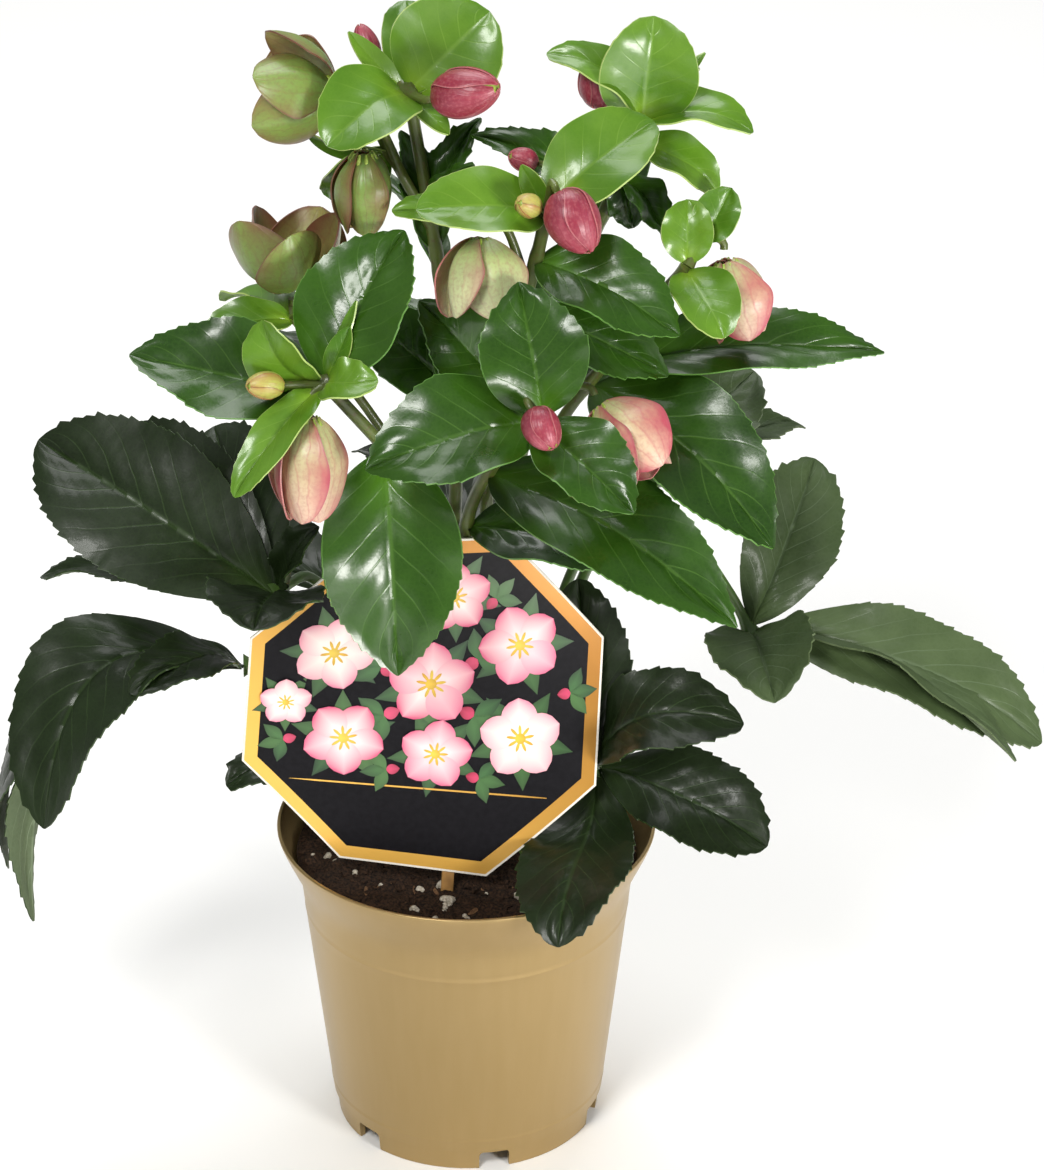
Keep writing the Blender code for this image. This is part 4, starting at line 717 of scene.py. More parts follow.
def grow_whorl(seat, turn_to, count, shift, points, skin):
    """A ring of small pods, each through points given as (out, up, radius)."""
    parts = []
    for k in range(count):
        turn = 2 * pi * (k + shift) / count
        out = np.array((cos(turn), sin(turn), 0.0))
        steps = [out * reach + np.array((0, 0, rise)) for reach, rise, _ in points]
        path = seat + np.array(steps) @ turn_to.T
        parts.append(roll(path, np.array([radius for _, _, radius in points]), 6, [skin]))
    return parts


def grow_throat(seat, axis, skins):
    """Stamens with their anthers, nectaries and the three carpels, round the flower's axis."""
    filament_skin, anther_skin, nectary_skin = skins
    turn_to = aim(axis)
    parts = []
    for k in range(STAMENS):
        parts += grow_stamen(seat, turn_to, k, filament_skin, anther_skin)
    parts += grow_whorl(seat, turn_to, NECTARIES, 0.5, NECTARY, nectary_skin)
    parts += grow_whorl(seat, turn_to, CARPELS, 0.0, CARPEL, nectary_skin)
    return parts


def sepal_specs(seat, axis, length, width, opening, spin_deg):
    """Five overlapping sepals round the axis, cupped inwards."""
    turn_to = aim(axis)
    axis_dir = turn_to @ np.array((0, 0, 1.0))
    specs = []
    for k in range(SEPALS):
        turn = radians(spin_deg) + 2 * pi * k / SEPALS
        out = turn_to @ np.array((cos(turn), sin(turn), 0.0))
        lapped = np.array(Matrix.Rotation(radians(SEPAL_LAP), 3, Vector(axis_dir)) @ Vector(out))
        root = seat + axis_dir * SEPAL_RISE + out * SEPAL_OUT
        reach = radians(opening * (1.0 if k % 2 else SEPAL_INNER))
        rise = SEPAL_RISE + length * cos(reach)
        tip = seat + axis_dir * rise + out * (length * sin(reach) * SEPAL_FLARE)
        specs.append(leaf("sepal", root, tip, width, -lapped, SEPAL_ARCH))
    return specs


def grow_bloom(name, place, skins, throat):
    """A nodding flower: heart, throat and five sepals."""
    seat, axis, length, width, opening, spin_deg = place
    axis = unit(axis)
    seat = np.array(seat, float) + axis * GAP
    sheets = []
    for spec in sepal_specs(seat, axis, length, width, opening, spin_deg):
        sheets.append(grow_blade(spec, skins, RNG.random(), RNG.random() * 6))
    body = join(sheets, name + "_sepals")
    apply(body, "SOLIDIFY", thickness=SEPAL_THICK * MM, offset=0.0, material_offset=1)
    profile = np.array(eased(HEART, 8))
    path = seat + np.outer(profile[:, 1], axis)
    heart = roll(path, np.maximum(profile[:, 0], 0.05), 14, [throat[-1]], ridges=0.06)
    parts = [body, heart] + grow_throat(seat, axis, throat)
    return finish_piece(parts, name + "_grown", name)


def grow_bud(name, place, skins, heart_skin):
    """An unopened flower: five sepals wound round each other."""
    seat, tip, width = np.array(place[0], float), np.array(place[1], float), place[2]
    axis = unit(tip - seat)
    length = np.linalg.norm(tip - seat) - GAP
    seat = seat + axis * GAP
    turn_to = aim(axis)

    def girth(h):
        return 1.02 * width * np.clip(h, 0, 1) ** 0.45 * np.clip(1 - h, 0, 1) ** 0.6

    sheets = []
    for k in range(SEPALS):
        start = 2 * pi * k / SEPALS + RNG.random() * 0.2
        reach = 0.96 + 0.04 * (k % 2)

        def wrap(u, v, start=start, reach=reach):
            height = 0.02 + reach * u * 0.975
            cover = radians(BUD_COVER) * (0.55 + 0.45 * np.sin(pi * np.clip(u, 0, 1) ** 0.8))
            turn = start + v * cover + BUD_TWIST * u
            lap = 1 + BUD_LAP * v + BUD_PUFF * (1 - v * v) * np.sin(pi * u)
            radius = girth(height) * lap + 0.12
            spots = np.stack([radius * np.cos(turn), radius * np.sin(turn), height * length], axis=-1)
            return seat + spots @ turn_to.T

        blade = sheet(BUD_COLUMNS, BUD_ROWS, wrap, skins)
        turn_over(blade)
        set_tone(blade, RNG.random())
        sheets.append(blade)
    body = join(sheets, name + "_sepals")
    apply(body, "SOLIDIFY", thickness=BUD_SKIN_THICK * MM, offset=0.0, material_offset=1)
    heights = np.linspace(0.0, 0.95, 12)
    path = seat + np.outer(heights * length, axis)
    core = roll(path, np.maximum(girth(heights) * BUD_CORE, 0.2), 14, [heart_skin])
    return finish_piece([body, core], name + "_grown", name)


# Pot, soil and label.

# On the card: blossoms and sprigs as (x, z, petal or leaf length, turn in degrees).
BLOSSOMS = ((2, 8, 15.0, 90), (-31, 19, 14.0, 70), (31, 22, 14.0, 112), (-26, -13, 14.0, 58),
            (33, -10, 14.0, 96), (5, -17, 12.5, 82), (8, 39, 12.5, 95), (-46, 0, 9.0, 20))
SPRIGS = ((-15, 33, 12.0, 130), (22, 38, 9.0, 50), (-46, -15, 9.0, 200), (49, 6, 9.0, 10),
          (-13, -4, 11.0, 205), (17, -3, 11.0, -25), (-11, -24, 9.0, 190), (20, -25, 9.0, -10),
          (-15, 14, 11.0, 150), (17, 17, 11.0, 40))
PETALS, RAYS = 5, 9

# Outlines of the printed shapes: how far up the belly lies, and how pointed the ends are.
LEAF_FORM, BERRY_FORM, PETAL_FORM = (0.9, 1.1), (0.8, 0.7), (1.2, 0.6)
RAY_FORM, DISC_FORM, BAND_FORM = (1.6, 0.6), (1.0, 0.5), (1.0, 0.02)


def pot_profile():
    """Outline of the pot's wall, from its axis below, over the lip, to its axis inside."""
    (foot_r, foot_z), (run_r, run_z) = BODY_FOOT, BODY_RUN
    collar = eased([(foot_r + run_r, foot_z + run_z)] + list(POT_COLLAR), 3)
    body = [(foot_r + run_r * t, foot_z + run_z * t) for t in np.linspace(0, 1, BODY_ROWS)[1:-1]]
    for height in RING_HEIGHTS:
        radius = foot_r + run_r * (height - foot_z) / run_z
        body += [(radius, height - RING_HALF), (radius + RING_RISE, height), (radius, height + RING_HALF)]
    body.sort(key=lambda point: point[1])
    inside = [(r - POT_WALL, z) for r, z in collar[::-1] + body[::4][::-1]]
    outside = [(0, 0)] + list(POT_FOOT) + body + collar + list(POT_LIP)
    return outside + inside + list(POT_INSIDE) + [(0, POT_WALL)]


def cut_foot(turn):
    """Cutters of one notch in the foot ring and of one drain hole."""
    x, y = cos(turn) * MM, sin(turn) * MM
    bpy.ops.mesh.primitive_cube_add(size=1.0, location=(NOTCH_R * x, NOTCH_R * y, NOTCH_CENTRE_Z * MM),
                                    rotation=(0, 0, turn))
    notch = bpy.context.object
    notch.scale = [side * MM for side in NOTCH_SIZE]
    bpy.ops.object.transform_apply(location=True, rotation=True, scale=True)
    apply(notch, "BEVEL", width=NOTCH_ROUND * MM, segments=3)
    bpy.ops.mesh.primitive_cylinder_add(vertices=24, radius=DRAIN_R * MM, depth=DRAIN_DEPTH * MM,
                                        location=(DRAIN_RING_R * x, DRAIN_RING_R * y, DRAIN_Z * MM))
    bpy.ops.object.transform_apply(location=True, rotation=True, scale=True)
    return [notch, bpy.context.object]


def mould_pot(skin):
    """Flared collar, tapered body, foot ring with notches and drain holes."""
    pot = lathe(pot_profile(), POT_COLUMNS, [skin])
    cutters = []
    for i in range(NOTCH_COUNT):
        cutters += cut_foot(radians(NOTCH_FIRST_DEG) + 2 * pi * i / NOTCH_COUNT)
    cutter = join(cutters, "cutter")
    apply(pot, "BOOLEAN", operation="DIFFERENCE", object=cutter)
    bpy.data.objects.remove(cutter)
    return finish_piece([pot], "moulded_pot", "pot", 40)


def soil_height(x, y):
    """Surface of the potting mix: crowned, with low swells about 20 mm apart."""
    share = (x * x + y * y) / SOIL_TOP_R ** 2
    bumps = 0.7 * np.sin(0.31 * x + 1.3) * np.cos(0.27 * y) + 0.5 * np.sin(0.52 * y - 0.4 * x)
    return SOIL_EDGE_Z + (SOIL_CROWN + bumps) * (1 - share)


def crumbly(spots):
    """Lift the top of the soil body to its crown and break it into crumbs."""
    for spot in spots:
        if spot[2] < SOIL_ROUGH_FROM:
            continue
        x, y = spot[0], spot[1]
        edge = min(1.0, max(0.0, (SOIL_TOP_R - sqrt(x * x + y * y)) / SOIL_EDGE_WIDTH))
        coarse = noise.noise(Vector((x, y, 3.0)) * 0.16)
        lumps = noise.noise(Vector((x, y, 9.0)) * 0.42)
        grains = noise.noise(Vector((x, y, 21.0)) * 1.15)
        rough = 1.5 * coarse + 1.5 * abs(lumps) + 0.8 * grains
        spot[2] = soil_height(x, y) - SOIL_EDGE_DROP * (1 - edge) + rough * (0.35 + 0.65 * edge)
    return spots


def lump_models(count, squash, rounds, rough, skin):
    """Balls of few faces and 1 mm radius, each knocked out of round in its own way."""
    models = []
    for _ in range(count):
        bpy.ops.mesh.primitive_ico_sphere_add(subdivisions=rounds, radius=MM)
        lump = bpy.context.object
        shift = RNG.random(3) * 50
        for corner in lump.data.vertices:
            push = 1 + rough * noise.noise(corner.co * 900 + Vector(shift))
            corner.co = corner.co * push
            corner.co.z *= squash
        lump.data.materials.append(skin)
        models.append(lump)
    return models


def lay(model, where, spin, size):
    """A copy of the model at its place, turned and scaled."""
    copy = bpy.data.objects.new("lump", model.data.copy())
    copy.data.transform(Matrix.Translation(Vector(where) * MM) @ spin @ Matrix.Scale(size, 4))
    bpy.context.scene.collection.objects.link(copy)
    return copy


def scatter(models, count, low_r, high_r, sizes, sink):
    """Copies of the models strewn over the soil, each turned its own way."""
    strewn = []
    for _ in range(count):
        model = models[int(RNG.integers(len(models)))]
        radius = sqrt(RNG.uniform(low_r ** 2, high_r ** 2))
        turn = RNG.uniform(0, 2 * pi)
        x, y = radius * cos(turn), radius * sin(turn)
        size = RNG.uniform(*sizes)
        spin = Matrix.Rotation(RNG.uniform(0, 6.28), 4, "Z")
        spin = spin @ Matrix.Rotation(RNG.uniform(-0.6, 0.6), 4, "X")
        strewn.append(lay(model, (x, y, soil_height(x, y) + 0.5 - sink * size), spin, size))
    return strewn


def fill_soil(peat, perlite, bark):
    """Peat mix: a crumbled body, crumbs, white perlite and slivers of bark."""
    rings = [(SOIL_TOP_R * share, 100.0) for share in np.linspace(0, 1, SOIL_RINGS)]
    below = [(SOIL_TOP_R, 99.0)] + list(SOIL_BELOW)
    body = lathe(rings + below + [(0, POT_WALL + GAP)], SOIL_COLUMNS, [peat], crumbly)
    crumbs = lump_models(*CRUMB_MODELS, peat)
    stones = lump_models(*STONE_MODELS, perlite)
    slivers = lump_models(*SLIVER_MODELS, bark)
    for sliver in slivers:
        sliver.data.transform(Matrix.Diagonal(SLIVER_SHAPE))
    parts = [body] + scatter(crumbs, *CRUMBS) + scatter(stones, *STONES) + scatter(slivers, *SLIVERS)
    for x, y, size in FRONT_STONES:
        height = soil_height(x, y) - SOIL_EDGE_DROP * 0.4 + 1.2
        parts.append(lay(stones[0], (x, y, height), Matrix.Rotation(x, 4, "Z"), size))
    for model in crumbs + stones + slivers:
        bpy.data.objects.remove(model)
    return finish_piece(parts, "potting_mix", "soil", 30)


def label_place(x, depth, z):
    """From the card's own plane to the plant: roll, lean, turn and shift."""
    turn = (Matrix.Rotation(radians(LABEL_YAW), 3, "Z") @ Matrix.Rotation(radians(-LABEL_LEAN), 3, "X")
            @ Matrix.Rotation(radians(LABEL_ROLL), 3, "Y"))
    spots = np.stack([x + 0 * z, depth + LABEL_WARP * x * z, z + 0 * x], axis=-1)
    return spots @ np.array(turn).T + np.array(LABEL_CENTRE)


def paint_rows(piece, rows, first, last, slot):
    """Give the grid rows from first to last a material slot, before the piece is welded."""
    places = piece.data.uv_layers.active.data
    for face in piece.data.polygons:
        height = sum(places[i].uv[1] for i in face.loop_indices) / len(face.loop_indices)
        if first <= int(height * rows) < last:
            face.material_index = slot


def cut_card(black, gold, edge):
    """The octagonal card: black field, gold border and thin pale rim, on a pale back."""
    shares = np.array(CARD_SHARES + CARD_SHARES[::-1])
    depths = np.repeat([-LABEL_THICK / 2, LABEL_THICK / 2], len(CARD_SHARES))
    rows = len(shares) - 1

    def face(u, v):
        row = np.rint(u * rows).astype(int)
        turn = pi * v
        radius = shares[row] * LABEL_ACROSS / 2 / np.cos((turn + pi / 8) % (pi / 4) - pi / 8)
        return label_place(radius * np.cos(turn), depths[row], radius * np.sin(turn))

    card = sheet(CARD_COLUMNS, rows, face, [black, gold, edge])
    paint_rows(card, rows, BORDER_ROW, RIM_ROW, 1)
    paint_rows(card, rows, RIM_ROW, rows, 2)
    weld(card)
    return card


def print_shape(x, z, length, width, turn_deg, lift, skin, form):
    """One printed petal, leaf or berry: a flat oval laid on the card's face."""
    turn = radians(turn_deg)
    belly, ends = form

    def shape(u, v):
        half = np.maximum(width / 2 * np.abs(np.sin(pi * np.clip(u, 0, 1) ** belly)) ** ends, 0.05)
        px = x + cos(turn) * u * length - sin(turn) * half * v
        pz = z + sin(turn) * u * length + cos(turn) * half * v
        return label_place(px, -LABEL_THICK / 2 - lift, pz)

    piece = sheet(8, 10, shape, [skin])
    set_tone(piece, RNG.random())
    return piece


def print_garland(petal, pale, leafy, yolk, berry, gold):
    """A plain garland on the card: round-petalled blossoms, leaves and berries."""
    shapes = []

    def fan(count, x, z, length, width, turn, step, lift, skin, form):
        for k in range(count):
            shapes.append(print_shape(x, z, length, width, turn + step * k, lift, skin, form))

    for x, z, size, spin in BLOSSOMS:
        fan(PETALS, x, z, size * 1.3, size * 0.5, spin + 36, 72, 0.06, leafy, LEAF_FORM)
    for x, z, size, spin in SPRIGS:
        fan(3, x, z, size, size * 0.5, spin - 60, 60, 0.08, leafy, LEAF_FORM)
        fan(1, x, z, size * 0.5, size * 0.42, spin + 180, 0, 0.16, berry, BERRY_FORM)
    for n, (x, z, size, spin) in enumerate(BLOSSOMS):
        base = 0.14 + 0.08 * n
        skin = pale if n % 3 == 1 else petal
        for k, lap in enumerate((0.0, 0.03, 0.0, 0.03, 0.02)):
            fan(1, x, z, size, size * 0.86, spin + 72 * k, 0, base + lap, skin, PETAL_FORM)
        fan(RAYS, x, z, size * 0.34, size * 0.07, spin, 360 / RAYS, base + 0.08, yolk, RAY_FORM)
        ring = size * 0.13
        fan(1, x - ring, z, ring * 2, ring * 2, 0, 0, base + 0.11, yolk, DISC_FORM)
    fan(1, -BAND_HALF, BAND_Z, 2 * BAND_HALF, BAND_WIDTH, 0, 0, 0.06, gold, BAND_FORM)
    return shapes


def shape_stake(plastic):
    """A flat bar with a pointed foot behind the card."""
    levels = [(STAKE_TOP, 0), (STAKE_TOP, 1), (STAKE_LOW + STAKE_TAPER, 1), (STAKE_LOW, 2), (STAKE_LOW, 0)]
    halves = (0.0, STAKE_W / 2, STAKE_TIP_HALF)
    depth = LABEL_THICK / 2 + STAKE_THICK / 2 - STAKE_SINK

    def shape(u, v):
        row = np.rint(u * (len(levels) - 1)).astype(int)
        turn = pi * v + pi / 4
        height = np.array([z for z, _ in levels])[row]
        half = np.array([halves[k] for _, k in levels])[row]
        thick = np.where(half > 0, STAKE_THICK / 2, 0.0)
        x = STAKE_X + np.sign(np.cos(turn)) * half
        back = depth + LABEL_WARP * STAKE_X * height - LABEL_WARP * x * height
        return label_place(x, back + np.sign(np.sin(turn)) * thick, height)

    stake = sheet(4, len(levels) - 1, shape, [plastic])
    weld(stake)
    apply(stake, "BEVEL", width=STAKE_ROUND * MM, segments=2)
    return stake


def make_label(skins):
    """Card, print and stake, as one piece."""
    black, gold, rim, petal, pale, leafy, yolk, berry, plastic = skins
    printed = join(print_garland(petal, pale, leafy, yolk, berry, gold), "print")
    apply(printed, "SOLIDIFY", thickness=PRINT_THICK * MM, offset=0.0)
    parts = [cut_card(black, gold, rim), printed, shape_stake(plastic)]
    return finish_piece(parts, "printed_label", "label", 30)


# Finishes.


def linear(channel):
    """Display value of one colour channel to linear light."""
    return channel / 12.92 if channel <= 0.04045 else ((channel + 0.055) / 1.055) ** 2.4


def colour(code):
    """A colour from its six display digits."""
    return [linear(int(code[i:i + 2], 16) / 255) for i in (1, 3, 5)] + [1.0]


def add(tree, kind, inputs=None, **settings):
    """Add a node with its settings; each input takes a value or another node's output."""
    made = tree.nodes.new(kind)
    for name, value in settings.items():
        setattr(made, name, value)
    for slot, value in (inputs or {}).items():
        if isinstance(value, bpy.types.NodeSocket):
            tree.links.new(value, made.inputs[slot])
        else:
            made.inputs[slot].default_value = value
    return made


def calc(tree, operation, *values):
    """One sum on values or outputs."""
    return add(tree, "ShaderNodeMath", dict(enumerate(values)), operation=operation).outputs[0]


def ramp(tree, value, start, end, low=0.0, high=1.0):
    """From low to high while the value runs from start to end."""
    return add(tree, "ShaderNodeMapRange", dict(enumerate((value, start, end, low, high)))).outputs[0]


def mix(tree, share, first, second):
    """From the first colour to the second; each is a display code or an output."""
    first, second = (colour(c) if isinstance(c, str) else c for c in (first, second))
    return add(tree, "ShaderNodeMix", {0: share, 6: first, 7: second}, data_type="RGBA").outputs[2]


def clouds(tree, place, apart_mm, detail=2.0):
    """Soft noise whose patches lie about apart_mm apart."""
    inputs = {"Vector": place, "Scale": 1000.0 / apart_mm, "Detail": detail}
    return add(tree, "ShaderNodeTexNoise", inputs).outputs[0]


def blank(name, sockets):
    """A new material with the shader's plain sockets set."""
    material = bpy.data.materials.new(name)
    material.use_nodes = True
    shader = material.node_tree.nodes["Principled BSDF"]
    for socket, value in sockets.items():
        shader.inputs[socket].default_value = value
    return material, material.node_tree, shader


def dress(tree, shader, paint, height, relief_mm, strength=0.5):
    """Give the shader its colour and a relief, which the clear coat follows too."""
    tree.links.new(paint, shader.inputs["Base Color"])
    relief = {"Height": height, "Distance": relief_mm * MM, "Strength": strength}
    bump = add(tree, "ShaderNodeBump", relief).outputs[0]
    tree.links.new(bump, shader.inputs["Normal"])
    tree.links.new(bump, shader.inputs["Coat Normal"])


def object_place(tree):
    """The point's place on the object, in metres."""
    return add(tree, "ShaderNodeTexCoord").outputs["Object"]


def blade_map(tree):
    """Where a point lies on its blade: from rib to edge and from root to tip, 0 to 1."""
    split = add(tree, "ShaderNodeSeparateXYZ", {0: add(tree, "ShaderNodeUVMap", uv_map="UVMap").outputs[0]})
    across = calc(tree, "ABSOLUTE", calc(tree, "MULTIPLY_ADD", split.outputs[0], 2.0, -1.0))
    return across, split.outputs[1]


def own_tone(tree):
    """The blade's own lean to its second colour."""
    return add(tree, "ShaderNodeAttribute", attribute_name="tone").outputs["Fac"]


def leaf_skin(name, kind, colours, coat, roughness, vein_show, net_mm, relief_mm, heel_to=0.32):
    """Living leaf skin: waxy cuticle over a blade with sunk side veins and a fine net.

    The cuticle gives soft highlights that the net breaks up. Colours are deep, light, vein,
    heel and margin: it runs from deep to light in slow patches, pales along the veins and
    turns yellower at the heel. The net is drawn coarser than a real one, so that it shows.
    """
    deep, light, vein, heel, margin = colours.split()
    sockets = {"Coat Weight": coat, "Coat Roughness": 0.18, "Specular IOR Level": 0.18 + 0.4 * coat}
    material, tree, shader = blank(name, sockets)
    place = object_place(tree)
    across, along = blade_map(tree)
    slip = calc(tree, "MULTIPLY_ADD", clouds(tree, place, 11.0, 1.0), 0.03, along)
    phase = calc(tree, "MULTIPLY_ADD", across, -VEIN_LEAN, slip)
    side = calc(tree, "PINGPONG", calc(tree, "MULTIPLY", phase, float(KINDS[kind].veins)), 0.5)
    thin = ramp(tree, across, 1.0, 0.3, 0.1, 1.0)
    lines = calc(tree, "MULTIPLY", ramp(tree, side, 0.055, 0.012), thin)
    veins = calc(tree, "MAXIMUM", lines, ramp(tree, across, 0.055, 0.018))
    cells = add(tree, "ShaderNodeTexVoronoi", {"Vector": place, "Scale": 1000.0 / net_mm},
                feature="DISTANCE_TO_EDGE").outputs[0]
    net = ramp(tree, cells, 0.30, 0.0)
    drawn = calc(tree, "MAXIMUM", veins, calc(tree, "MULTIPLY", net, 0.16))
    patches = clouds(tree, place, 18.0, 3.0)
    own = calc(tree, "MULTIPLY", own_tone(tree), 0.55)
    lean = calc(tree, "MULTIPLY_ADD", ramp(tree, patches, 0.35, 0.68), 0.45, own)
    low = calc(tree, "MULTIPLY", ramp(tree, along, heel_to, 0.02), ramp(tree, across, 0.8, 0.0))
    green = mix(tree, low, mix(tree, lean, deep, light), heel)
    veined = mix(tree, calc(tree, "MULTIPLY", drawn, vein_show), green, vein)
    edged = mix(tree, ramp(tree, across, 0.985, 1.0), veined, margin)
    tree.links.new(ramp(tree, patches, 0.3, 0.7, roughness, roughness + 0.12), shader.inputs["Roughness"])
    sunk = calc(tree, "MULTIPLY_ADD", net, -0.22, calc(tree, "MULTIPLY", veins, -1.0))
    dress(tree, shader, edged, sunk, relief_mm)
    return material


def petal_skin(name, colours, stripes, roughness, show=0.35, flush_from=0.25):
    """Sepal skin: thin, satin, with fine veins that fan from the heel and a flush of colour.

    Colours are heart, tip, flush and edge.
    """
    heart, tip, flush, edge = colours.split()
    sockets = {"Roughness": roughness, "Coat Weight": 0.12, "Coat Roughness": 0.3,
               "Subsurface Weight": 0.10, "Subsurface Scale": 0.003}
    material, tree, shader = blank(name, sockets)
    place = object_place(tree)
    across, along = blade_map(tree)
    fan = calc(tree, "MULTIPLY_ADD", across, stripes, calc(tree, "MULTIPLY", clouds(tree, place, 6.0), 0.9))
    line = ramp(tree, calc(tree, "PINGPONG", fan, 0.5), 0.16, 0.0)
    patches = clouds(tree, place, 9.0, 3.0)
    fine = clouds(tree, place, 1.1, 3.0)
    outer = calc(tree, "MULTIPLY_ADD", across, 0.75, patches)
    wide = calc(tree, "MULTIPLY_ADD", own_tone(tree), 0.45, outer)
    blush = ramp(tree, wide, 0.55 + flush_from, 1.25 + flush_from)
    flushed = mix(tree, blush, mix(tree, ramp(tree, along, 0.1, 0.95), heart, tip), flush)
    mottled = mix(tree, ramp(tree, fine, 0.45, 0.75, 0.0, 0.35), flushed, edge)
    lined = mix(tree, calc(tree, "MULTIPLY", line, show), mottled, flush)
    edged = mix(tree, ramp(tree, across, 0.93, 1.0, 0.0, 0.8), lined, edge)
    dress(tree, shader, edged, line, 0.08)
    return material


def stalk_skin(name, lit, shaded, blush, roughness):
    """Stem skin: ribbed and faintly waxy, flushed where the light reaches it."""
    material, tree, shader = blank(name, {"Roughness": roughness, "Coat Weight": 0.12})
    place = object_place(tree)
    spots = clouds(tree, place, 1.4)
    green = mix(tree, ramp(tree, clouds(tree, place, 16.0, 3.0), 0.35, 0.65), lit, shaded)
    dress(tree, shader, mix(tree, ramp(tree, spots, 0.55, 0.75, 0.0, 0.6), green, blush), spots, 0.08, 0.4)
    return material


def grain_skin(name, first, second, grain_mm, relief_mm, roughness, specular=0.5):
    """A surface of two mingled colours with a grain: peat, perlite, bark, card, plastic."""
    material, tree, shader = blank(name, {"Roughness": roughness, "Specular IOR Level": specular})
    grain = clouds(tree, object_place(tree), grain_mm, 4.0)
    dress(tree, shader, mix(tree, ramp(tree, grain, 0.35, 0.65), first, second), grain, relief_mm)
    return material


def gold_plastic_skin():
    """Injection-moulded polypropylene with gold pearl pigment.

    The pearl flakes give a soft broad sheen; flow lines from the mould run up the wall
    and show as very faint streaks, and the surface has a very fine orange peel.
    """
    sockets = {"Metallic": 0.75, "Coat Weight": 0.15, "Coat Roughness": 0.3}
    material, tree, shader = blank("gold_pearl_polypropylene", sockets)
    place = object_place(tree)
    drawn = add(tree, "ShaderNodeMapping", {"Vector": place, "Scale": (1.0, 1.0, 0.06)}).outputs[0]
    streaks = clouds(tree, drawn, 4.0, 3.0)
    tree.links.new(ramp(tree, streaks, 0.3, 0.7, 0.36, 0.40), shader.inputs["Roughness"])
    dress(tree, shader, mix(tree, ramp(tree, streaks, 0.3, 0.7), "#A68D5E", "#A99062"),
          clouds(tree, place, 1.6), 0.03, 0.3)
    return material


def foil_skin():
    """Gold foil border of the card: a painted reflection makes it bright at its lower left, and painted
    shade makes it deeper to the right and the top.
    """
    material, tree, shader = blank("card_gold_foil", {"Metallic": 0.35, "Roughness": 0.34})
    place = object_place(tree)
    split = add(tree, "ShaderNodeSeparateXYZ", {0: place})
    rise = calc(tree, "ADD", split.outputs[0], split.outputs[2])
    # Painted reflection fading into painted shade, from the card's lower left to its upper right.
    painted_reflection_fade = ramp(tree, rise, 0.085, 0.225)
    dress(tree, shader, mix(tree, painted_reflection_fade, "#F2BE5A", "#A8722A"), clouds(tree, place, 6.0), 0.01)
    return material


def print_skin(name, heart, edge, shade):
    """Offset print under a clear film: colour runs from the shape's heel to its edge."""
    material, tree, shader = blank(name, {"Roughness": 0.35, "Coat Weight": 0.1, "Coat Roughness": 0.15})
    across, along = blade_map(tree)
    body = mix(tree, ramp(tree, calc(tree, "MULTIPLY_ADD", across, 0.45, along), 0.40, 1.25), heart, edge)
    toned = mix(tree, calc(tree, "MULTIPLY", own_tone(tree), 0.45), body, shade)
    tree.links.new(toned, shader.inputs["Base Color"])
    return material


# Light, floor and camera.

# The camera's aim and distance in millimetres, its elevation in degrees and its lens in pixels.
LOOK_AT = (19.13, 0.0, 204.84)
VIEW_DISTANCE, VIEW_ELEVATION = 1605.95, 28.31
FOCAL_PX, FRAME_H, SENSOR = 4800.0, 1170.0, 36.0

# The soft boxes: name, place, aim and size in metres, power in watts, tint.
LIGHTS = (("key", (-0.5, -1.2, 1.5), (0.0, 0.0, 0.25), 0.45, 21.0, (1.0, 0.99, 0.965)),
          ("top", (0.0, 0.8, 1.9), (0.0, 0.25, 0.0), 1.3, 29.0, (1.0, 1.0, 1.0)),
          ("side", (0.62, -0.72, 0.30), (0.0, 0.0, 0.1), 0.22, 7.0, (1.0, 0.98, 0.95)))
ROOM_LIGHT = 0.26
FLOOR_SIDE, FLOOR_Z = 8.0, -0.0002


def set_camera():
    """The photograph's viewpoint: square on, from 28 degrees up, 1.6 m away."""
    data = bpy.data.cameras.new("camera")
    data.sensor_width = SENSOR
    data.lens = FOCAL_PX * SENSOR / FRAME_H
    data.clip_start, data.clip_end = 0.1, 20.0
    camera = bpy.data.objects.new("camera", data)
    rise = radians(VIEW_ELEVATION)
    away = Vector((0.0, -cos(rise), sin(rise))) * VIEW_DISTANCE
    camera.location = (Vector(LOOK_AT) + away) * MM
    camera.rotation_euler = (pi / 2 - rise, 0.0, 0.0)
    bpy.context.scene.collection.objects.link(camera)
    bpy.context.scene.camera = camera


def hang_light(name, where, towards, size, power, tint):
    """A soft square light, aimed at a point of the plant."""
    data = bpy.data.lights.new(name, "AREA")
    data.shape, data.size, data.energy, data.color = "SQUARE", size, power, tint
    light = bpy.data.objects.new(name, data)
    light.location = where
    light.rotation_euler = (Vector(towards) - Vector(where)).to_track_quat("-Z", "Y").to_euler()
    bpy.context.scene.collection.objects.link(light)


def light_studio():
    """A pale floor that fills the view, a bright room and three soft boxes."""
    floor_skin = blank("pale_sweep_paper", {"Base Color": colour("#F8F8F7"), "Roughness": 0.9})[0]
    bpy.ops.mesh.primitive_plane_add(size=FLOOR_SIDE, location=(0.0, 0.0, FLOOR_Z))
    floor = bpy.context.object
    floor.name = "studio_floor"
    floor.data.materials.append(floor_skin)
    world = bpy.data.worlds.new("studio_room")
    world.use_nodes = True
    room = world.node_tree.nodes["Background"]
    room.inputs["Color"].default_value = colour("#FFFFFF")
    room.inputs["Strength"].default_value = ROOM_LIGHT
    bpy.context.scene.world = world
    for light in LIGHTS:
        hang_light(*light)
    settings = bpy.context.scene.view_settings
    settings.view_transform = "Standard"
    settings.exposure = 0.0


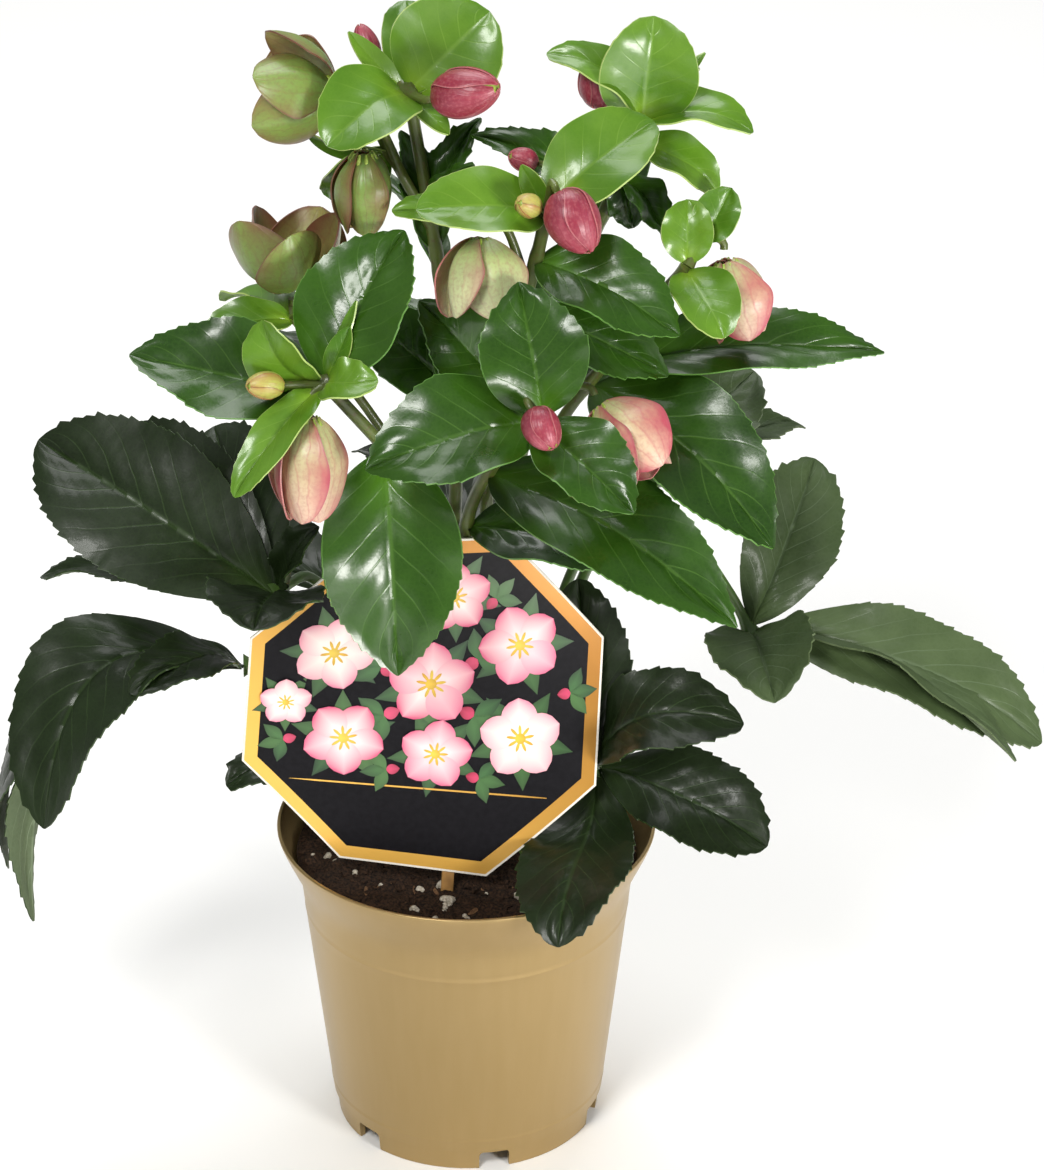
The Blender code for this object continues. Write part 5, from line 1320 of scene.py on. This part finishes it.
def leaf_skins():
    """Upper and lower skin of each kind of blade."""
    pale = (leaf_skin("bract_upper_cuticle", "bract", "#3A660E #628A22 #84A842 #84A62E #A2B868",
                      coat=0.40, roughness=0.30, vein_show=0.22, net_mm=1.6, relief_mm=0.05),
            leaf_skin("bract_under_skin", "bract", "#64843C #7C9A52 #98B270 #8CA85C #A8BC80",
                      coat=0.05, roughness=0.50, vein_show=0.25, net_mm=1.6, relief_mm=0.07))
    dark = (leaf_skin("stem_leaf_upper_cuticle", "stem_leaf", "#1A3806 #30560C #587E34 #4E7C1C #568038",
                      coat=0.34, roughness=0.26, vein_show=0.34, net_mm=1.8, relief_mm=0.07),
            leaf_skin("stem_leaf_under_skin", "stem_leaf", "#4C6C34 #5E7E44 #84A060 #769850 #7C9C50",
                      coat=0.05, roughness=0.52, vein_show=0.35, net_mm=1.8, relief_mm=0.12))
    basal = (leaf_skin("basal_leaf_upper_cuticle", "leaflet", "#0E1607 #1B2A10 #3A5028 #33481C #2A3C1A",
                       coat=0.14, roughness=0.38, vein_show=0.35, net_mm=1.8, relief_mm=0.08, heel_to=0.22),
             leaf_skin("basal_leaf_under_skin", "leaflet", "#505E44 #626F52 #86947A #768860 #6E805C",
                       coat=0.03, roughness=0.58, vein_show=0.45, net_mm=1.8, relief_mm=0.18))
    # Painted glare: a dull, greyed, paler upper skin for the far right leaves.
    glare_paled = (leaf_skin("glare_paled_leaf_upper_cuticle", "leaflet", "#2C3C1E #4A5A38 #64745A #54683C #4E5C3C",
                       coat=0.08, roughness=0.48, vein_show=0.35, net_mm=1.8, relief_mm=0.08, heel_to=0.22),
             basal[1])
    return {"bract": pale, "bractlet": pale, "stem_leaf": dark, "leaflet": basal, "glare_paled_leaflet": glare_paled}


def sepal_skins():
    """Inner and outer skin of the sepals, by the flower's colour."""
    pink = (petal_skin("sepal_face_pink", "#B4B878 #C8A48C #A44E56 #A8706A", 3.0, 0.45),
            petal_skin("sepal_back_pink", "#B6B680 #D2B09A #AE4C5A #A0505A", 3.0, 0.42, 0.35, 0.24))
    cream = (petal_skin("sepal_face_cream", "#B8C684 #CDCE9E #B88478 #A8605E", 3.0, 0.45, 0.25, 0.4),
             petal_skin("sepal_back_cream", "#A2B66C #D6D8AA #B07C72 #985458", 3.0, 0.42, 0.25, 0.38))
    green = (petal_skin("sepal_face_green", "#7C8A42 #8C8A50 #6E4A34 #6A4232", 3.0, 0.42, 0.3, 0.30),
             petal_skin("sepal_back_green", "#6C8A3C #7E9448 #7A5E3C #6C4438", 3.0, 0.40, 0.25, 0.42))
    return {"pink": pink, "cream": cream, "green": green}


def bud_skins():
    """Outer skin of a rose and of a green bud, each with the lining that both share."""
    rose = petal_skin("bud_sepal_rose", "#6C2234 #AE4E5E #862036 #C07A7C", 4.0, 0.40, 0.5, 0.10)
    lining = petal_skin("bud_sepal_lining", "#C8B080 #C88080 #A04454 #B87878", 4.0, 0.45)
    green = petal_skin("bud_sepal_green", "#A4B04C #B8A85C #A0703E #946044", 4.0, 0.40, 0.3, 0.4)
    return {"rose": (rose, lining), "green": (green, lining)}


def throat_skins():
    """Filament, anther and nectary; hearts and bud cores take the nectary's."""
    nectary = grain_skin("nectary_skin", "#8CA53E", "#A8BC58", 0.8, 0.03, 0.35)
    return (grain_skin("filament_skin", "#CDD29A", "#DCDAB0", 0.8, 0.02, 0.5),
            grain_skin("anther_skin", "#D8C47C", "#BFA650", 0.5, 0.05, 0.7), nectary)


def soil_skins():
    """Peat, perlite and bark."""
    return (grain_skin("moist_peat", "#120B07", "#38271B", 0.9, 0.5, 0.93, 0.2),
            grain_skin("perlite", "#B8B0A2", "#857C6C", 0.8, 0.3, 0.85, 0.3),
            grain_skin("bark_fibre", "#4E3624", "#735438", 0.6, 0.3, 0.85, 0.3))


def card_skins():
    """Card, foil, print and stake."""
    return (grain_skin("card_ink_black", "#0D0C10", "#131216", 2.0, 0.01, 0.5, 0.15), foil_skin(),
            grain_skin("card_core", "#E9E4DA", "#DAD4C8", 0.5, 0.02, 0.6),
            print_skin("print_blossom_pink", "#F4E2DE", "#CC4A72", "#E88CA6"),
            print_skin("print_blossom_pale", "#F8F2E8", "#DC7C98", "#F0CCC8"),
            print_skin("print_leaf", "#3A6236", "#1A351E", "#567C40"),
            print_skin("print_centre", "#E8BC38", "#C89020", "#DCCC58"),
            print_skin("print_berry", "#C43C60", "#921836", "#D4587A"),
            grain_skin("stake_polypropylene", "#A67C46", "#8F6A3C", 3.0, 0.02, 0.45))


def grow_plant():
    """Stems, basal leaves, flowers and buds, each standing for its solid."""
    blades, sepals, buds, throat = leaf_skins(), sepal_skins(), bud_skins(), throat_skins()
    stem = stalk_skin("flowering_stem_skin", "#5C6A2C", "#434F20", "#5E4030", 0.42)
    petiole = stalk_skin("petiole_skin", "#506C30", "#385424", "#4E4630", 0.42)
    for name, shoot in SHOOTS.items():
        grow_leafy(name, shoot["foot"], shoot["stalks"], shoot["blades"], blades, stem)
    for name, plant in BASAL.items():
        stalks = [Stalk(PETIOLE_R, PETIOLE_END_R, plant["petiole"])]
        grow_leafy(name, plant["foot"], stalks, plant["leaflets"], blades, petiole)
    for name, place in BLOOMS.items():
        tint = "green" if name in GREEN_FLOWERS else "cream" if name in CREAM_FLOWERS else "pink"
        grow_bloom(name, place, sepals[tint], throat)
    for name, place in BUDS.items():
        tint = "green" if name in GREEN_FLOWERS else "rose"
        grow_bud(name, place, buds[tint], throat[-1])


def main():
    """Studio first, then the pot with its soil and label, then the plant."""
    set_camera()
    light_studio()
    mould_pot(gold_plastic_skin())
    fill_soil(*soil_skins())
    make_label(card_skins())
    grow_plant()


main()
